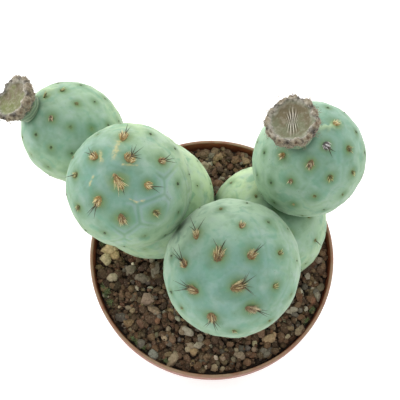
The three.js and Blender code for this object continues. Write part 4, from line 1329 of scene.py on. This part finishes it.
# A layer of stones in a sunflower spread: radius by the square root of the order, golden turn between
# neighbours, each moved a little and kept off the wall. Those with their middle inside a stem are left out,
# and so are the upper ones under a marked stone.
def addStoneLayer(name, layer, finish, draw):
    s = stoneSettings
    order = np.arange(layer["count"])
    r = s["reach"] * np.sqrt((order + 0.5) / len(order))
    bearing = order * math.pi * (3 - math.sqrt(5)) + layer["start"]
    xy = np.stack([r * np.cos(bearing), r * np.sin(bearing)], -1) + draw.normal(0, 0.5, (len(order), 2))
    z = layer["height"] + draw.uniform(-1, 1, len(order)) * s["zSpread"]
    centres = np.concatenate([xy, z[:, None]], axis=1)
    size = s["size"] * np.exp(draw.normal(0, s["sizeSpread"], len(order)))
    if layer is s["fine"]:
        size *= s["fineSize"]
    limit = potInnerRadius(s["wallLevel"]) - s["wallGap"] - size
    radius = np.hypot(centres[:, 0], centres[:, 1])
    centres[:, :2] *= (np.minimum(radius, limit) / radius)[:, None]
    keep = np.ones(len(order), bool)
    for stem in ("segment_base", "segment_left_low"):
        keep &= eggLevel(segmentSettings[stem], centres, 0) > 1 - 0.02 * size
    for x, y, half in (row[:3] for row in markedStones):
        beside = np.hypot(centres[:, 0] - x, centres[:, 1] - y) > half * 0.8
        keep &= beside | (layer["height"] < s["markedFrom"])
    centres, size = centres[keep], size[keep]
    count = len(centres)
    colour = drawColours(s["colours"], count, draw) * np.exp(draw.normal(-0.04, 0.3, (count, 1)))
    colour = colour * np.exp(draw.normal(0, 0.035, (count, 3)))
    stretch, turn = draw.uniform(1.0, 1.3, count), draw.uniform(0, 2 * math.pi, count)
    directions = roundDirections(layer["rings"], layer["around"])
    points = stoneShapes(directions, centres, size, stretch, turn, s["cuts"], draw)
    addStones(name, points, colour, poleGridFaces(layer["rings"], layer["around"]), finish)


# Many stones of one grid as one piece, each with a colour of its own.
def addStones(name, points, colour, faces, finish):
    shift = np.arange(len(points))[:, None, None] * points.shape[1]
    groups = [(shift + group).reshape(-1, group.shape[1]) for group in faces]
    stones = makePiece(name, points, groups, finish, smooth=False)
    paintColour(stones, "stoneColour", np.repeat(colour, points.shape[1], axis=0))
    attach(stones, "root")


# The marked stones: cut in the same way on a finer grid, with rough waves of two lengths on them.
def addMarkedStones(finish, draw):
    s = stoneSettings
    rows = np.array([row[:5] for row in markedStones])
    centres = np.stack([rows[:, 0], rows[:, 1], np.full(len(rows), s["markedHeight"])], -1)
    directions = roundDirections(*s["markedGrid"])
    turn = np.radians(rows[:, 4])
    points = stoneShapes(directions, centres, rows[:, 2], rows[:, 3], turn, s["markedCuts"], draw)
    rough = ripple(points.reshape(-1, 3), 2.4, 12, 40) + 0.5 * ripple(points.reshape(-1, 3), 1.1, 13, 40)
    points += s["markedRough"] * rough.reshape(points.shape[:2])[..., None] * directions[None]
    colours = np.array([row[5] for row in markedStones])
    addStones("stones_marked", points, colours, poleGridFaces(*s["markedGrid"]), finish)


# Moss: short green blades in round clumps between the stones at the pot's wall.
def addMoss(s, finish):
    draw = np.random.default_rng(s["seed"])
    clumps = np.array(s["clumps"], float)
    which = np.repeat(np.arange(len(clumps)), s["blades"])
    total = len(which)
    offset = draw.normal(0, s["spread"] * 0.6, (total, 2))
    roots = np.concatenate([clumps[which] + offset, np.full((total, 1), s["height"])], axis=1)
    roots[:, 2] += 0.8 * np.exp(-(offset ** 2).sum(1) / s["spread"] ** 2)
    radius = np.hypot(roots[:, 0], roots[:, 1])
    roots[:, :2] *= (np.minimum(radius, s["reach"]) / radius)[:, None]
    headings = unit(draw.normal(0, 0.6, (total, 3)) + (0, 0, 1.0))
    lengths = s["length"] * draw.uniform(0.5, 1.2, total)
    moss = spikeMesh("moss", roots, headings, lengths, np.full(total, s["width"]), finish)
    share = draw.uniform(0, 1, (total, 1)) ** 1.5
    tip = np.array(s["dark"]) * (1 - share) + np.array(s["light"]) * share
    foot = np.repeat([s["dark"]], total, axis=0) * 0.7
    paintColour(moss, "hairColour", np.stack([foot, foot, foot, tip], axis=1).reshape(-1, 3))
    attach(moss, "root")


# Broken mineral: each stone's own colour with dark clouds, pale chips and pits.
def mineralStone():
    stone = Finish("mineralStone", 0.85, Specular_IOR_Level=0.25)
    own = stone.attribute("stoneColour", "Color")
    dark = stone.mix(1.0, own, stoneSettings["shadow"], "MULTIPLY")
    own = stone.mix(stone.clouds(1.1, 5, 0.36, 0.68, 0.0, 0.7), own, dark)
    stone.colour(stone.mix(stone.clouds(0.5, 4, 0.56, 0.74, 0.0, 0.5), own, stoneSettings["chip"]))
    stone.bump(stone.sum(stone.noise(0.5, 4), 1.0, stone.sum(stone.specks(0.9), 0.5)), 0.3)
    return stone.material


# Damp fine soil in the gaps.
def darkSoil():
    s = soilSettings
    soil = Finish("darkSoil", 0.95)
    soil.colour(soil.mix(soil.clouds(1.5, 4, 0.35, 0.65), s["dark"], s["light"]))
    soil.bump(soil.noise(1.0, 4), 0.6)
    return soil.material


stoneDraw = np.random.default_rng(stoneSettings["seed"])
stoneFinish = mineralStone()
addSoil(soilSettings, darkSoil())
addStoneLayer("stones_lower", stoneSettings["lower"], stoneFinish, stoneDraw)
addStoneLayer("stones_upper", stoneSettings["upper"], stoneFinish, stoneDraw)
addStoneLayer("stones_fine", stoneSettings["fine"], stoneFinish, stoneDraw)
addMarkedStones(stoneFinish, np.random.default_rng(stoneSettings["markedSeed"]))
addMoss(mossSettings, bristleFinish)
print("soil, stones and moss are made")
